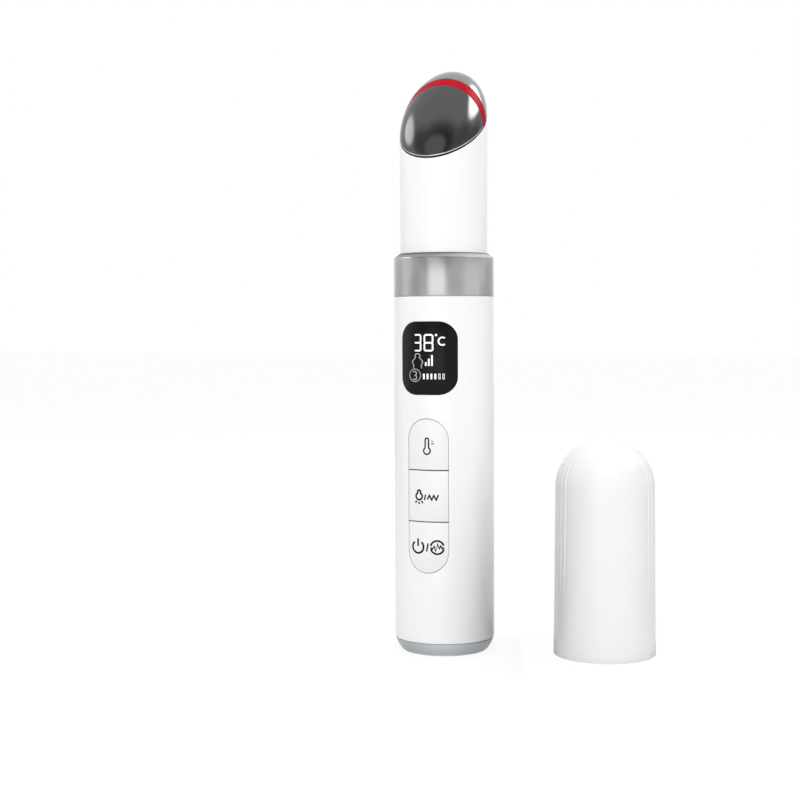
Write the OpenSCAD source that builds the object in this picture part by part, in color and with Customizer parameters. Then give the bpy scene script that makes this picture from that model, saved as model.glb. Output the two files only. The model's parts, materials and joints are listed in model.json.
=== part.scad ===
// Heated eye massager wand with its protective cap standing beside it.
// Millimetres. +Z runs up the wand, -Y is the side with the display and the keys, and the origin
// is the centre of the wand's flat foot, on the surface that it stands on.

/* [Handle] */
// Outer diameter of the handle and of the collar
body_d = 27; // [25.5:0.1:30]
// Wall of the handle tube
body_wall = 1.6; // [1.4:0.1:1.8]
// Height of the parting line between the base and the handle tube
base_h = 3.6; // [3.2:0.1:4.5]
// Diameter of the flat foot
foot_d = 22.7; // [21.5:0.1:24]
// Height at which the foot's curve runs out into the straight handle
foot_curve_h = 5; // [4.6:0.1:7]
// Length of the handle tube, from the parting line to the collar
handle_len = 92.1; // [82:0.1:105]
// Height of the metal collar
collar_h = 11.6; // [8:0.1:16]
// Height of the collar's conical shoulder
shoulder_h = 1.2; // [0.6:0.1:2]

/* [Neck and head] */
// Diameter of the neck
neck_d = 23.6; // [22.4:0.1:24.2]
// Wall of the neck tube
neck_wall = 1.5; // [1.3:0.1:1.8]
// Length of the neck on its axis, from the collar to the slanted rim
neck_len = 34.1; // [32:0.1:42]
// Slope of the rim, which is lowest at the front
rim_angle = 37.5; // [32:0.5:40]
// Height of the dome above the rim's plane, along the axis
dome_rise = 12.75; // [11.5:0.05:14]
// Wall of the polished head plates
plate_wall = 1.2; // [1:0.1:1.3]
// Width of the light band between the two plates
band_w = 2.6; // [2.2:0.1:3.2]
// Forward lean of the light band
band_lean = 4.7; // [3:0.1:7]
// Thickness of the black gasket under the dome
gasket_t = 0.35; // [0.3:0.05:0.6]
// Thickness of the heater film behind the front plate
film_t = 0.25; // [0.2:0.05:0.3]

/* [Display] */
// Width of the display window
window_w = 15.7; // [14.5:0.1:17]
// Height of the display window
window_h = 19.4; // [18:0.1:20.4]
// Radius of the window's corners
window_r = 4.7; // [3:0.1:5.5]
// Distance from the collar down to the window
window_drop = 6.6; // [5.5:0.1:9]
// Thickness of the window pane, which lies flush in the handle
pane_t = 0.9; // [0.7:0.1:1]

/* [Keys] */
// Width of the key field
keys_w = 11.4; // [10:0.1:12.4]
// Height of the key field, shared by three keys
keys_h = 41.1; // [38:0.1:42]
// Distance from the window down to the key field
keys_drop = 6.2; // [5.4:0.1:8]
// Gap round each key
key_gap = 0.15; // [0.1:0.05:0.25]
// Travel of a key
key_travel = 0.3; // [0.2:0.05:0.4]
// Thickness of a key's face behind the handle's surface
key_t = 2.3; // [2.1:0.1:2.6]

/* [Inside the handle] */
// Diameter of the battery cell
battery_d = 13; // [11:0.1:13.6]
// Length of the battery cell
battery_len = 45; // [40:0.5:48]
// Distance from the wand's axis to the front of the main board
board_y = 5; // [4.6:0.1:5.4]
// Thickness of the main board
board_t = 1.2; // [0.8:0.1:1.6]
// Depth of the neck's foot in the handle
neck_insert = 4; // [3:0.1:4.6]

/* [Vibration motor] */
// Diameter of the motor can
motor_d = 8; // [6:0.1:8.6]
// Length of the motor can
motor_len = 14; // [12:0.1:15]
// Diameter of the motor shaft
shaft_d = 1.5; // [1:0.1:2]
// Radius of the eccentric weight
weight_r = 6; // [4:0.1:7]
// Length of the eccentric weight
weight_len = 4.8; // [3:0.1:5]

/* [Cap] */
// Height of the cap
cap_h = 58; // [57.5:0.1:64]
// Wall of the cap at its dome
cap_wall = 1.1; // [0.9:0.1:1.6]
// How much wider, in radius, the cap is at its mouth than below its dome
cap_flare = 0.4; // [0:0.05:0.8]
// Clearance between the cap's bore and the neck
cap_fit = 0.3; // [0.2:0.05:0.5]
// Distance from the wand to the cap that stands beside it
cap_x = 42.6; // [34:0.1:60]
// How far back the cap stands
cap_y = 8.2; // [-20:0.1:20]

/* [Hidden] */
$fn = 96;

// Small gap between pieces that slide together and are then fixed
slip = 0.1;
// Film of glue or light between pieces of the head
glue = 0.05;
// Running clearance, in radius, of a shaft or stem
running = 0.03;
// Depth of the glue groove under the collar and of the black seam under the head
recess = 0.2;
// Larger than the whole wand's width, for cuts
big = 90;

body_r = body_d / 2;
bore_r = body_r - body_wall;
handle_top = base_h + handle_len;
collar_top = handle_top + collar_h;
neck_r = neck_d / 2;
neck_bore_r = neck_r - neck_wall;
rim_h = collar_top + neck_len;
rim_rise = tan(rim_angle);

// Foot: an arc that is tangent to the handle's side and ends at the foot's edge
foot_in = body_r - foot_d / 2;
foot_arc_r = (foot_curve_h * foot_curve_h + foot_in * foot_in) / (2 * foot_in);

// Base, charging socket and its board
base_floor = 2;
spigot_wall = 1.2;
spigot_h = 5.6;
socket_w = 8.94;
socket_t = 3.26;
socket_len = 7.4;
socket_z = 0.4;
socket_skin = 0.3;
tongue_w = 6.7;
tongue_t = 0.7;
charge_z = socket_z + socket_len;
charge_t = 1;
charge_r = bore_r - slip - spigot_wall - 0.3;
charge_screw_x = 7.7;
boss_r = 1.7;

// Screws
screw_d = 1.6;
screw_head_d = 2.8;
screw_head_h = 0.9;
screw_len = 5;
pilot_gap = 0.05;

// Main board and inner frame
frame_r = bore_r - slip;
board_back = board_y - board_t;
board_top = handle_top - neck_insert - 0.8;
board_z = charge_z + charge_t + 3;
board_half = sqrt(pow(bore_r - 0.5, 2) - board_y * board_y);
frame_z = charge_z + charge_t + 1.6;
frame_wall = 0.6;
battery_y = frame_r - frame_wall - slip - battery_d / 2;
battery_z = frame_z + 7;
battery_end_gap = 0.3;
nub_d = 4;
nub_h = 0.7;
pocket_half = battery_d / 2 + slip;
screw_x = pocket_half + screw_d;

// Display
ledge = 1;
pane_gap = 0.06;
pane_in_r = body_r - pane_t;
module_margin = 0.5;
module_w = window_w - 2 * (ledge + module_margin);
module_h = window_h - 2 * (ledge + module_margin);
module_front_r = pane_in_r - 0.15;
window_z = handle_top - window_drop - window_h / 2;
window_foot = window_z - window_h / 2;

// Keys, from the top one down
key_h = keys_h / 3;
keys_top = window_foot - keys_drop;
keys_z = keys_top - keys_h;
key_sink = 0.05;
key_in_r = body_r - key_t;
flange_w = 0.8;
flange_out_r = bore_r - slip;
switch_side = 4.4;
switch_h = 1.9;
stem_r = 1;
stem_out = 1.1;
stem_in = 0.9;
plunger_r = 1.4;
switch_front = board_y + switch_h;
stem_front = switch_front + stem_out;

// Vibration motor, from its holder up
holder_z = collar_top + 1.2;
holder_floor = 1.5;
holder_web = 3;
sleeve_wall = 1.2;
sleeve_len = 11;
hub_wall = 0.9;
motor_z = holder_z + holder_floor;
motor_top = motor_z + motor_len;
nose_r = 1.6;
nose_h = 0.6;
shaft_z = motor_z + 3;
weight_z = motor_top + nose_h + 0.7;
shaft_top = weight_z + weight_len + 0.4;

// Head: pieces lie under one another, each a little further in than the dome's surface
film_in = plate_wall + glue;
band_in = plate_wall + film_t;
carrier_in = plate_wall + film_t + 2 * glue;
carrier_wall = 1.2;
skirt_len = 5;
skirt_r = neck_bore_r - slip;
led_board_in = carrier_in + carrier_wall + slip;
led_board_t = 1;
led_board_drop = 3;
led_count = 5;
led_step = 27;
led_w = 1.6;
led_slot = led_w + 2 * slip;
bead_r = 0.8;
bead_u = 7.4;
bead_len = 1.6;

// Cap
cap_bore_r = neck_r + cap_fit;
cap_r = cap_bore_r + cap_wall;
cap_side = cap_h - cap_r;
cap_bead = 0.2;
cap_bead_z = 4;
cap_bead_d = 1.6;
mouth_chamfer = 0.5;

// Flat outlines, drawn with true arcs
module rounded_rectangle(w, h, r) {
    square([w - 2 * r, h], center = true);
    square([w, h - 2 * r], center = true);
    for (x = [-1, 1], y = [-1, 1])
        translate([x * (w / 2 - r), y * (h / 2 - r)]) circle(r = r);
}

module stadium(w, h) {
    square([w, h - w], center = true);
    for (y = [-1, 1]) translate([0, y * (h - w) / 2]) circle(d = w);
}

// A flat outline pushed through the front wall, its centre z above the foot
module through_front(z) {
    translate([0, -bore_r / 2, z]) rotate([90, 0, 0]) linear_extrude(body_r) children();
}

module tube(r_out, r_in, z, h) {
    translate([0, 0, z]) difference() {
        cylinder(r = r_out, h = h);
        translate([0, 0, -1]) cylinder(r = r_in, h = h + 2);
    }
}

// A rod along Y, from one distance in front of the axis to a larger one
module front_rod(r, from, to, z) {
    translate([0, -from, z]) rotate([90, 0, 0]) cylinder(r = r, h = to - from);
}

// A screw with its head's seat at the origin, pointing down -Z
module screw() {
    cylinder(d = screw_head_d, h = screw_head_h);
    translate([0, 0, -screw_len]) cylinder(d = screw_d, h = screw_len + screw_head_h / 2);
}

module at_charge_screws() {
    for (side = [-1, 1]) translate([side * charge_screw_x, 0, charge_z + charge_t]) children();
}

module at_board_screws() {
    for (side = [-1, 1], z = [board_z + screw_head_d, (keys_top + window_foot) / 2])
        translate([side * screw_x, -board_y, z]) rotate([90, 0, 0]) children();
}

// Half of the wand's outline between two heights, drawn in by the foot's arc
module foot_outline(from, to) {
    intersection() {
        translate([0, from]) square([body_r, to - from]);
        union() {
            translate([0, foot_curve_h]) square([body_r, max(to - foot_curve_h, 0.01)]);
            translate([body_r - foot_arc_r, foot_curve_h]) circle(r = foot_arc_r, $fn = 180);
            square([body_r - foot_arc_r, foot_curve_h]);
        }
    }
}

// Base with its charging port, foot and spigot
module base_cap() {
    color("#aab2b6") {
        difference() {
            union() {
                rotate_extrude() foot_outline(0, base_h);
                translate([0, 0, base_h / 2]) cylinder(r = bore_r - slip, h = base_h / 2 + spigot_h);
            }
            translate([0, 0, base_floor])
                cylinder(r = bore_r - slip - spigot_wall, h = base_h + spigot_h);
            translate([0, 0, -1]) linear_extrude(base_floor + 2)
                rotate(90) stadium(socket_t + 2 * slip, socket_w + 2 * slip);
        }
        for (side = [-1, 1]) translate([side * charge_screw_x, 0, base_floor / 2]) difference() {
            cylinder(r = boss_r, h = charge_z - base_floor / 2);
            translate([0, 0, 1.4]) cylinder(d = screw_d + 2 * pilot_gap, h = charge_z);
        }
    }
}

module usb_socket() {
    color("#c8c8cc") translate([0, 0, socket_z]) {
        difference() {
            linear_extrude(socket_len) rotate(90) stadium(socket_t, socket_w);
            translate([0, 0, -1]) linear_extrude(socket_len)
                rotate(90) stadium(socket_t - 2 * socket_skin, socket_w - 2 * socket_skin);
        }
        translate([-tongue_w / 2, -tongue_t / 2, 1.2]) cube([tongue_w, tongue_t, socket_len - 2]);
    }
}

module charge_board() {
    color("#1f6b45") difference() {
        translate([0, 0, charge_z]) cylinder(r = charge_r, h = charge_t);
        at_charge_screws() cylinder(d = screw_d + 4 * pilot_gap, h = 3 * charge_t, center = true);
    }
}

module charge_board_screws() {
    color("#b8babd") at_charge_screws() screw();
}

// Handle tube with the window's ledge and the opening for the keys
module handle_shell() {
    color("#f4f4f6") difference() {
        rotate_extrude() difference() {
            foot_outline(base_h, handle_top);
            square([bore_r, handle_top + 1]);
        }
        through_front(window_z)
            rounded_rectangle(window_w - 2 * ledge, window_h - 2 * ledge, window_r - ledge);
        difference() {
            through_front(window_z) rounded_rectangle(window_w, window_h, window_r);
            cylinder(r = pane_in_r, h = big * 2);
        }
        through_front(keys_z + keys_h / 2) stadium(keys_w, keys_h);
    }
}

module display_window() {
    color("#16171a") intersection() {
        tube(body_r, pane_in_r + glue, window_foot - 1, window_h + 2);
        through_front(window_z)
            rounded_rectangle(window_w - 2 * pane_gap, window_h - 2 * pane_gap, window_r - pane_gap);
    }
}

// Light guide of the digits, moulded to the back of the curved pane
module display_module() {
    color("#e8e8ea") intersection() {
        translate([0, -board_y, window_z]) rotate([90, 0, 0]) linear_extrude(body_r)
            rounded_rectangle(module_w, module_h, window_r - ledge - module_margin);
        cylinder(r = module_front_r, h = 2 * big);
    }
}

// Carrier of the battery and the main board: a half tube with a deep open pocket
module inner_frame() {
    bay_z = battery_z + battery_len + nub_h + 3;
    color("#d9dade") difference() {
        intersection() {
            translate([0, 0, frame_z]) cylinder(r = frame_r, h = board_top - frame_z);
            translate([-big / 2, -board_back, 0]) cube([big, big, 2 * big]);
        }
        translate([0, battery_y, battery_z]) {
            cylinder(r = pocket_half, h = battery_len + nub_h + battery_end_gap);
            translate([-pocket_half, -big, 0])
                cube([2 * pocket_half, big, battery_len + nub_h + battery_end_gap]);
        }
        translate([-pocket_half, -board_back - 1, bay_z])
            cube([2 * pocket_half, board_back + battery_y + 1, board_top - bay_z - 1.5]);
        for (z = [battery_z + 5, battery_z + battery_len / 2 + 3])
            translate([-battery_d / 4, battery_y, z]) cube([battery_d / 2, big, battery_len / 2 - 8]);
        at_board_screws() cylinder(d = screw_d + 2 * pilot_gap, h = 2 * screw_len + 1, center = true);
    }
}

module battery() {
    color("#3c6fb0") translate([0, battery_y, battery_z]) {
        cylinder(d = battery_d, h = battery_len);
        cylinder(d = nub_d, h = battery_len + nub_h);
    }
}

module main_board() {
    color("#1f6b45") difference() {
        translate([-board_half, -board_y, board_z])
            cube([2 * board_half, board_t, board_top - board_z]);
        at_board_screws() cylinder(d = screw_d + 4 * pilot_gap, h = 3 * board_t, center = true);
    }
}

module main_board_screws() {
    color("#b8babd") at_board_screws() screw();
}

// One of the three keys, counted from the top
function key_z(n) = keys_top - (n + 0.5) * key_h;

module key_slab(n, half_w) {
    grow = n == 1 ? 0 : 5;
    bottom = key_z(n) - key_h / 2 - (n == 2 ? grow : -key_gap);
    top = key_z(n) + key_h / 2 + (n == 0 ? grow : -key_gap);
    translate([-half_w, -body_r - 1, bottom]) cube([2 * half_w, body_r, top - bottom]);
}

module key(n) {
    color("#ececef") {
        intersection() {
            tube(body_r - key_sink, key_in_r, keys_z, keys_h);
            through_front(keys_z + keys_h / 2) stadium(keys_w - 2 * key_gap, keys_h - 2 * key_gap);
            key_slab(n, keys_w);
        }
        intersection() {
            tube(flange_out_r, key_in_r, keys_z - flange_w, keys_h + 2 * flange_w);
            through_front(keys_z + keys_h / 2) stadium(keys_w + 2 * flange_w, keys_h + 2 * flange_w);
            key_slab(n, keys_w);
        }
        front_rod(plunger_r, stem_front + glue, key_in_r + flange_w / 2, key_z(n));
    }
}

module key_temperature() { key(0); }
module key_mode() { key(1); }
module key_power() { key(2); }

// The moving stem of a key's switch
module stem(n) {
    color("#2b2c30") front_rod(stem_r, switch_front - stem_in, stem_front, key_z(n));
}

module stem_temperature() { stem(0); }
module stem_mode() { stem(1); }
module stem_power() { stem(2); }

module switch(n) {
    color("#c9cbcf") difference() {
        translate([-switch_side / 2, -switch_front, key_z(n) - switch_side / 2])
            cube([switch_side, switch_h, switch_side]);
        front_rod(stem_r + running, switch_front - stem_in - key_travel - slip, body_r, key_z(n));
    }
}

module switch_temperature() { switch(0); }
module switch_mode() { switch(1); }
module switch_power() { switch(2); }

// Metal sleeve round the foot of the neck, with a conical shoulder
module collar_ring() {
    edge = 0.15;
    color("#b4b5b8") rotate_extrude() polygon([
        [neck_r + glue, handle_top], [body_r - edge, handle_top], [body_r, handle_top + edge],
        [body_r, collar_top - shoulder_h], [neck_r + 2 * glue, collar_top], [neck_r + glue, collar_top]
    ]);
}

// Neck with its slanted upper end, a glue groove under the collar, and the foot in the handle
module neck_tube() {
    color("#f6f6f8") intersection() {
        union() {
            tube(neck_r, neck_bore_r, collar_top, big);
            tube(neck_r - recess, neck_bore_r, handle_top, collar_h);
            tube(bore_r - slip, neck_bore_r, handle_top - neck_insert, neck_insert);
        }
        below_rim(-gasket_t);
    }
}

module motor_holder() {
    hub_r = motor_d / 2 + glue + sleeve_wall + glue;
    color("#d9dade") difference() {
        union() {
            translate([0, 0, holder_z]) cylinder(r = neck_bore_r - slip, h = holder_web);
            translate([0, 0, holder_z])
                cylinder(r = hub_r + hub_wall, h = holder_floor + sleeve_len);
        }
        translate([0, 0, motor_z]) cylinder(r = hub_r, h = sleeve_len + 1);
        translate([0, 0, holder_z - 1]) cylinder(r = motor_d / 4, h = big);
        for (turn = [45:90:315]) rotate(turn) translate([(hub_r + neck_bore_r) / 2 + 0.4, 0, holder_z - 1])
            cylinder(r = 0.8, h = big);
    }
}

module motor_sleeve() {
    color("#26272a") tube(motor_d / 2 + glue + sleeve_wall, motor_d / 2 + glue, motor_z, sleeve_len);
}

module motor_can() {
    color("#c9cbcf") difference() {
        union() {
            translate([0, 0, motor_z]) cylinder(d = motor_d, h = motor_len);
            translate([0, 0, motor_z]) cylinder(r = nose_r, h = motor_len + nose_h);
        }
        translate([0, 0, shaft_z - slip]) cylinder(r = shaft_d / 2 + running, h = motor_len);
    }
}

module motor_shaft() {
    color("#9fa2a6") translate([0, 0, shaft_z]) cylinder(d = shaft_d, h = shaft_top - shaft_z);
}

module eccentric_weight() {
    hub = shaft_d / 2 + 0.9;
    color("#8a8d91") translate([0, 0, weight_z]) difference() {
        union() {
            intersection() {
                cylinder(r = weight_r, h = weight_len);
                translate([-weight_r, -2 * weight_r, 0]) cube([2 * weight_r, 2 * weight_r, weight_len]);
            }
            cylinder(r = hub, h = weight_len);
        }
        translate([0, 0, -1]) cylinder(r = shaft_d / 2 + 0.01, h = weight_len + 2);
    }
}

// Everything above, or below, a plane parallel to the slanted rim
module above_rim(lift = 0) {
    translate([0, 0, rim_h]) rotate([rim_angle, 0, 0])
        translate([-big / 2, -big / 2, lift]) cube(big);
}

module below_rim(lift = 0) {
    translate([0, 0, rim_h]) rotate([rim_angle, 0, 0])
        translate([-big, -big, lift - 2 * big]) cube(2 * big);
}

// The dome is a half ball drawn up in height and sheared, so that its equator is the slanted rim
// and its side runs straight on from the neck. Each inset gives a dome that lies further in.
module dome(inset) {
    r = neck_r - inset;
    translate([0, 0, rim_h]) multmatrix([
        [r, 0, 0, 0],
        [0, r, 0, 0],
        [0, r * rim_rise, dome_rise - inset, 0]
    ]) rotate(120) sphere(r = 1);
}

module dome_shell(out, in) {
    difference() {
        intersection() {
            dome(out);
            above_rim();
        }
        dome(in);
    }
}

// The upright cut of the light band, from one distance in front of its middle to a larger one
module band_slab(from, to) {
    translate([0, 0, rim_h]) rotate([band_lean, 0, 0])
        translate([-big / 2, -to, -big / 2]) cube([big, to - from, big]);
}

module contact_plate() {
    color("#55575b") intersection() {
        dome_shell(0, plate_wall);
        band_slab(band_w / 2, big);
    }
}

module back_plate() {
    color("#a3a5a8") intersection() {
        dome_shell(0, plate_wall);
        band_slab(-big, -band_w / 2);
    }
}

module light_band() {
    color("#d3142a") intersection() {
        dome_shell(0, band_in);
        band_slab(glue - band_w / 2, band_w / 2 - glue);
    }
}

module head_gasket() {
    color("#101113") intersection() {
        tube(neck_r - recess, neck_bore_r + slip, collar_top, big);
        above_rim(-gasket_t);
        below_rim();
    }
}

module heater_film() {
    color("#c98a3a") intersection() {
        dome_shell(film_in, film_in + film_t);
        band_slab(band_w / 2 + 1, big);
        above_rim(1);
    }
}

// Place on the front of the head for the temperature bead, along the dome's normal there
module at_bead() {
    r = neck_r - carrier_in;
    side = sqrt(1 - pow(bead_u / r, 2));
    rise = dome_rise - carrier_in;
    tilt = atan(rim_rise + rise * bead_u / (r * r * side));
    translate([0, -bead_u, rim_h - rim_rise * bead_u + rise * side]) rotate([tilt, 0, 0]) children();
}

// Inner support of the head, with the light slot and the skirt that sits in the neck
module head_carrier() {
    color("#e6e7ea") difference() {
        union() {
            dome_shell(carrier_in, carrier_in + carrier_wall);
            intersection() {
                tube(skirt_r, skirt_r - carrier_wall, collar_top, big);
                below_rim(glue);
                above_rim(-skirt_len);
            }
        }
        intersection() {
            band_slab(-led_slot / 2, led_slot / 2);
            translate([-neck_r + 2.5, -big / 2, rim_h + 2]) cube([neck_d - 5, big, big]);
        }
        at_bead() cylinder(r = bead_r + slip, h = 6, center = true);
    }
}

module led_board() {
    color("#1f6b45") intersection() {
        union() {
            intersection() {
                dome(led_board_in);
                above_rim();
            }
            intersection() {
                translate([0, 0, rim_h - led_board_drop])
                    cylinder(r = skirt_r - carrier_wall - slip, h = big);
                below_rim();
            }
        }
        band_slab(-led_board_t / 2, led_board_t / 2);
    }
}

// Lights on the board's arched edge, their faces shaped to the dome
module red_leds() {
    r = neck_r - led_board_in;
    rise = (dome_rise - led_board_in) / (1 + rim_rise * tan(band_lean));
    color("#e02030") for (n = [0:led_count - 1]) {
        turn = (n - (led_count - 1) / 2) * led_step;
        across = r * sin(turn);
        up = rise * cos(turn);
        lie = atan2(rise * sin(turn), r * cos(turn));
        intersection() {
            dome_shell(band_in + glue, led_board_in - glue);
            translate([across, -tan(band_lean) * up, rim_h + up]) rotate([band_lean, lie, 0])
                translate([-led_w / 2, -led_w / 2, -led_w]) cube([led_w, led_w, 3 * led_w]);
        }
    }
}

module thermistor() {
    color("#2b2c30") at_bead() translate([0, 0, -bead_len]) cylinder(r = bead_r, h = bead_len);
}

// Protective cap, mouth down: a slightly flared tube with a round dome
module cap_shell() {
    color("#f6f6f8") translate([cap_x, cap_y, 0]) rotate_extrude() difference() {
        union() {
            polygon([
                [0, 0], [cap_r + cap_flare - slip, 0], [cap_r + cap_flare, slip],
                [cap_r, cap_side], [0, cap_side]
            ]);
            intersection() {
                translate([0, cap_side]) circle(r = cap_r, $fn = 144);
                translate([0, cap_side - 1]) square([body_d, cap_r + 2]);
            }
        }
        difference() {
            union() {
                translate([0, -1]) square([cap_bore_r, cap_side + 1]);
                intersection() {
                    translate([0, cap_side]) circle(r = cap_bore_r, $fn = 144);
                    translate([0, cap_side - 1]) square([body_d, cap_r + 2]);
                }
                polygon([
                    [0, -1], [cap_bore_r + mouth_chamfer + 1, -1], [cap_bore_r, mouth_chamfer],
                    [0, mouth_chamfer]
                ]);
            }
            translate([cap_bore_r + cap_bead_d / 2 - cap_bead, cap_bead_z]) circle(d = cap_bead_d);
        }
    }
}

base_cap();
usb_socket();
charge_board();
charge_board_screws();
handle_shell();
inner_frame();
battery();
main_board();
main_board_screws();
display_module();
display_window();
key_temperature();
key_mode();
key_power();
stem_temperature();
stem_mode();
stem_power();
switch_temperature();
switch_mode();
switch_power();
collar_ring();
neck_tube();
motor_holder();
motor_sleeve();
motor_can();
motor_shaft();
eccentric_weight();
head_gasket();
head_carrier();
led_board();
red_leds();
heater_film();
thermistor();
contact_plate();
back_plate();
light_band();
cap_shell();
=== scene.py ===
"""Looks of the heated eye massager wand and its cap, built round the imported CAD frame.

Everything is in metres, in the frame of the CAD model: +Z runs up the wand and -Y is the side with
the display and the keys. Sizes written in millimetres are scaled by MM.
"""

import json
import math

import bmesh
import bpy
from bpy.props import FloatProperty, FloatVectorProperty, IntProperty, PointerProperty
from bpy.types import Operator, Panel, PropertyGroup
from mathutils import Matrix, Vector


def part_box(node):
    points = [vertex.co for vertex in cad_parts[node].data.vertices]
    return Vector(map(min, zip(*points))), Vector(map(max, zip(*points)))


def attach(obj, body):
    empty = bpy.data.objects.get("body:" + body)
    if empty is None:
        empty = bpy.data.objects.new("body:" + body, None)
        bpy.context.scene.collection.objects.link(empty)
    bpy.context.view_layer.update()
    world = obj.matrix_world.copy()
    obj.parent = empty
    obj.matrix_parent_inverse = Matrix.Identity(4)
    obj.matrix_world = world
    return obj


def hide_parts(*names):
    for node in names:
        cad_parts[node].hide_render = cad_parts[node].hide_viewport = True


bl_info = {
    "name": "Eye Massager Wand",
    "version": (1, 0, 0),
    "blender": (4, 5, 0),
    "location": "View3D > Sidebar > Wand",
    "description": "Builds the visible pieces, the finishes and the stage of a heated eye massager wand",
    "category": "Object",
}

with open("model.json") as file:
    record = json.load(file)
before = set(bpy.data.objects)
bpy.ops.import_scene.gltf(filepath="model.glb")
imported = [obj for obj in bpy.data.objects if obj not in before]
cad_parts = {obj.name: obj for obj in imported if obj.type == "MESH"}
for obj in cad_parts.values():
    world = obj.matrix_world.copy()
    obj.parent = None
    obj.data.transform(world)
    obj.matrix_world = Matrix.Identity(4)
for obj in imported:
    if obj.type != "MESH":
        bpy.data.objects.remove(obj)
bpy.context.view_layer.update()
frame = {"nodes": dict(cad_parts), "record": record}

MM = 0.001
FULL_TURN = 2 * math.pi
TURN_STEPS = 256
# Distances below which points count as one, and as lying on a plane
MERGE, TOUCH = 1e-7, 1e-8
# Gap between pieces that slide together, and how far in front of a surface its cutters start
SLIP, CLEAR = 0.1 * MM, 0.6 * MM
FLAG_HEIGHT = 60 * MM
WAND = "wand"
KEYS = ("temperature", "mode", "power")
FINISHES = {}
HANDLE_LOW, HANDLE_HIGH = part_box("handle_shell")
COLLAR_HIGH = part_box("collar_ring")[1]
NECK_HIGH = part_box("neck_tube")[1]
WINDOW_LOW, WINDOW_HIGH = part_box("display_window")
CAP_LOW, CAP_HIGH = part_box("cap_shell")


# Sizes and colours that a user would change


def length(name, description, default):
    return FloatProperty(
        name=name, description=description, default=default, min=0, subtype="DISTANCE", unit="LENGTH"
    )


def tilt(name, description, degrees):
    return FloatProperty(
        name=name, description=description, default=math.radians(degrees), subtype="ANGLE", unit="ROTATION"
    )


def colour(name, description, default):
    return FloatVectorProperty(
        name=name, description=description, default=default, min=0, max=1, size=3, subtype="COLOR"
    )


class WandSizes(PropertyGroup):
    """Sizes of the wand's outer pieces"""

    body_radius: length("Body radius", "Radius of the handle and the collar", HANDLE_HIGH.x)
    body_bore: length("Body bore", "Inner radius of the handle tube", 11.9 * MM)
    foot_radius: length("Foot radius", "Radius of the flat foot", 11.35 * MM)
    foot_curve: length("Foot curve height", "Height at which the foot's curve runs out", 5 * MM)
    parting: length("Parting line", "Height of the line between base and handle", HANDLE_LOW.z)
    handle_top: length("Handle top", "Height of the handle's upper end", HANDLE_HIGH.z)
    collar_top: length("Collar top", "Height of the collar's upper end", COLLAR_HIGH.z)
    shoulder: length("Shoulder", "Height of the collar's conical shoulder", 1.2 * MM)
    neck_radius: length("Neck radius", "Radius of the neck", NECK_HIGH.x)
    neck_bore: length("Neck bore", "Inner radius of the neck", 10.3 * MM)
    rim_height: length("Rim height", "Height of the slanted rim on the wand's axis", 141.4 * MM)
    rim_slope: tilt("Rim slope", "Slope of the rim, which is lowest at the front", 37.5)
    dome_rise: length("Dome rise", "Height of the dome above the rim", 12.75 * MM)
    plate_wall: length("Plate wall", "Thickness of the head plates", 1.2 * MM)
    band_wall: length("Band wall", "Thickness of the light band", 1.45 * MM)
    band_width: length("Band width", "Width of the cut that holds the light band", 2.6 * MM)
    band_lean: tilt("Band lean", "Forward lean of the light band", 4.7)
    # The rounded edge round the head's rim, painted bright as a painted highlight, is this high.
    rim_edge: length("Rim edge", "Height of the bright edge cut round the head's rim", 0.25 * MM)
    seam: length("Seam", "Thickness of the black gasket under the head", 0.45 * MM)
    window_width: length("Window width", "Width of the display window", 15.7 * MM)
    window_height: length("Window height", "Height of the display window", 19.4 * MM)
    window_corner: length("Window corner", "Radius of the window's corners", 4.7 * MM)
    pane_depth: length("Pane depth", "Thickness of the window's pane", 0.9 * MM)
    keys_width: length("Key field width", "Width of the field of keys", 11.4 * MM)
    keys_height: length("Key field height", "Height of the field of keys", 41.1 * MM)
    keys_foot: length("Key field foot", "Height of the lower end of the field of keys", 22.4 * MM)
    key_gap: length("Key gap", "Gap round each key", 0.15 * MM)
    soft_edge: length("Edge radius", "Radius that softens the edges of the mouldings", 0.12 * MM)


class WandColours(PropertyGroup):
    """Colours of the wand's finishes"""

    body: colour("Body white", "Gloss plastic of the handle and the neck", (0.885, 0.885, 0.89))
    key: colour("Key white", "Plastic of the keys", (0.84, 0.84, 0.845))
    cap: colour("Cap white", "Gloss plastic of the cap", (0.885, 0.885, 0.895))
    collar: colour("Collar metal", "Satin metal of the collar", (0.46, 0.46, 0.462))
    base: colour("Base metal", "Blue-grey satin metal of the base", (0.47, 0.495, 0.51))
    plate: colour("Contact plate", "Dark polished metal of the heated plate", (0.105, 0.106, 0.106))
    back: colour("Back plate", "Polished metal of the head's back", (0.285, 0.3, 0.29))
    # Colour of the painted highlight on the rounded edge round the head's rim, above the seam.
    cut_edge: colour("Cut edge", "Bright edge cut round the head above the seam", (0.85, 0.85, 0.85))
    band: colour("Light band", "Red lens of the light band", (0.44, 0.006, 0.018))
    pane: colour("Pane", "Black pane of the display", (0.005, 0.005, 0.0055))
    lit: colour("Lit marks", "Marks that light up on the display", (0.95, 0.96, 1.0))
    ink: colour("Key ink", "Printed symbols of the keys", (0.004, 0.004, 0.005))


class WandStage(PropertyGroup):
    """Camera, floor and lights"""

    view_azimuth: tilt("View azimuth", "Turn of the camera about the wand, from the front", 20.07)
    distance: length("Distance", "Distance from the wand's axis to the camera", 417.09 * MM)
    height: length("Camera height", "Height of the camera above the floor", 88.41 * MM)
    yaw: tilt("Yaw", "Turn of the camera to its right", -1.648)
    pitch: tilt("Pitch", "Downward tilt of the camera", 2.826)
    roll: tilt("Roll", "Roll of the camera", -0.238)
    lens: FloatProperty(
        name="Lens", description="Focal length on a 36 mm sensor, in millimetres", default=69.18, min=1
    )
    floor_size: length("Floor size", "Side of the floor", 8.0)
    world_level: FloatProperty(
        name="World level", description="Strength of the light from all round", default=0.76, min=0
    )


# Shader graphs


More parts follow.
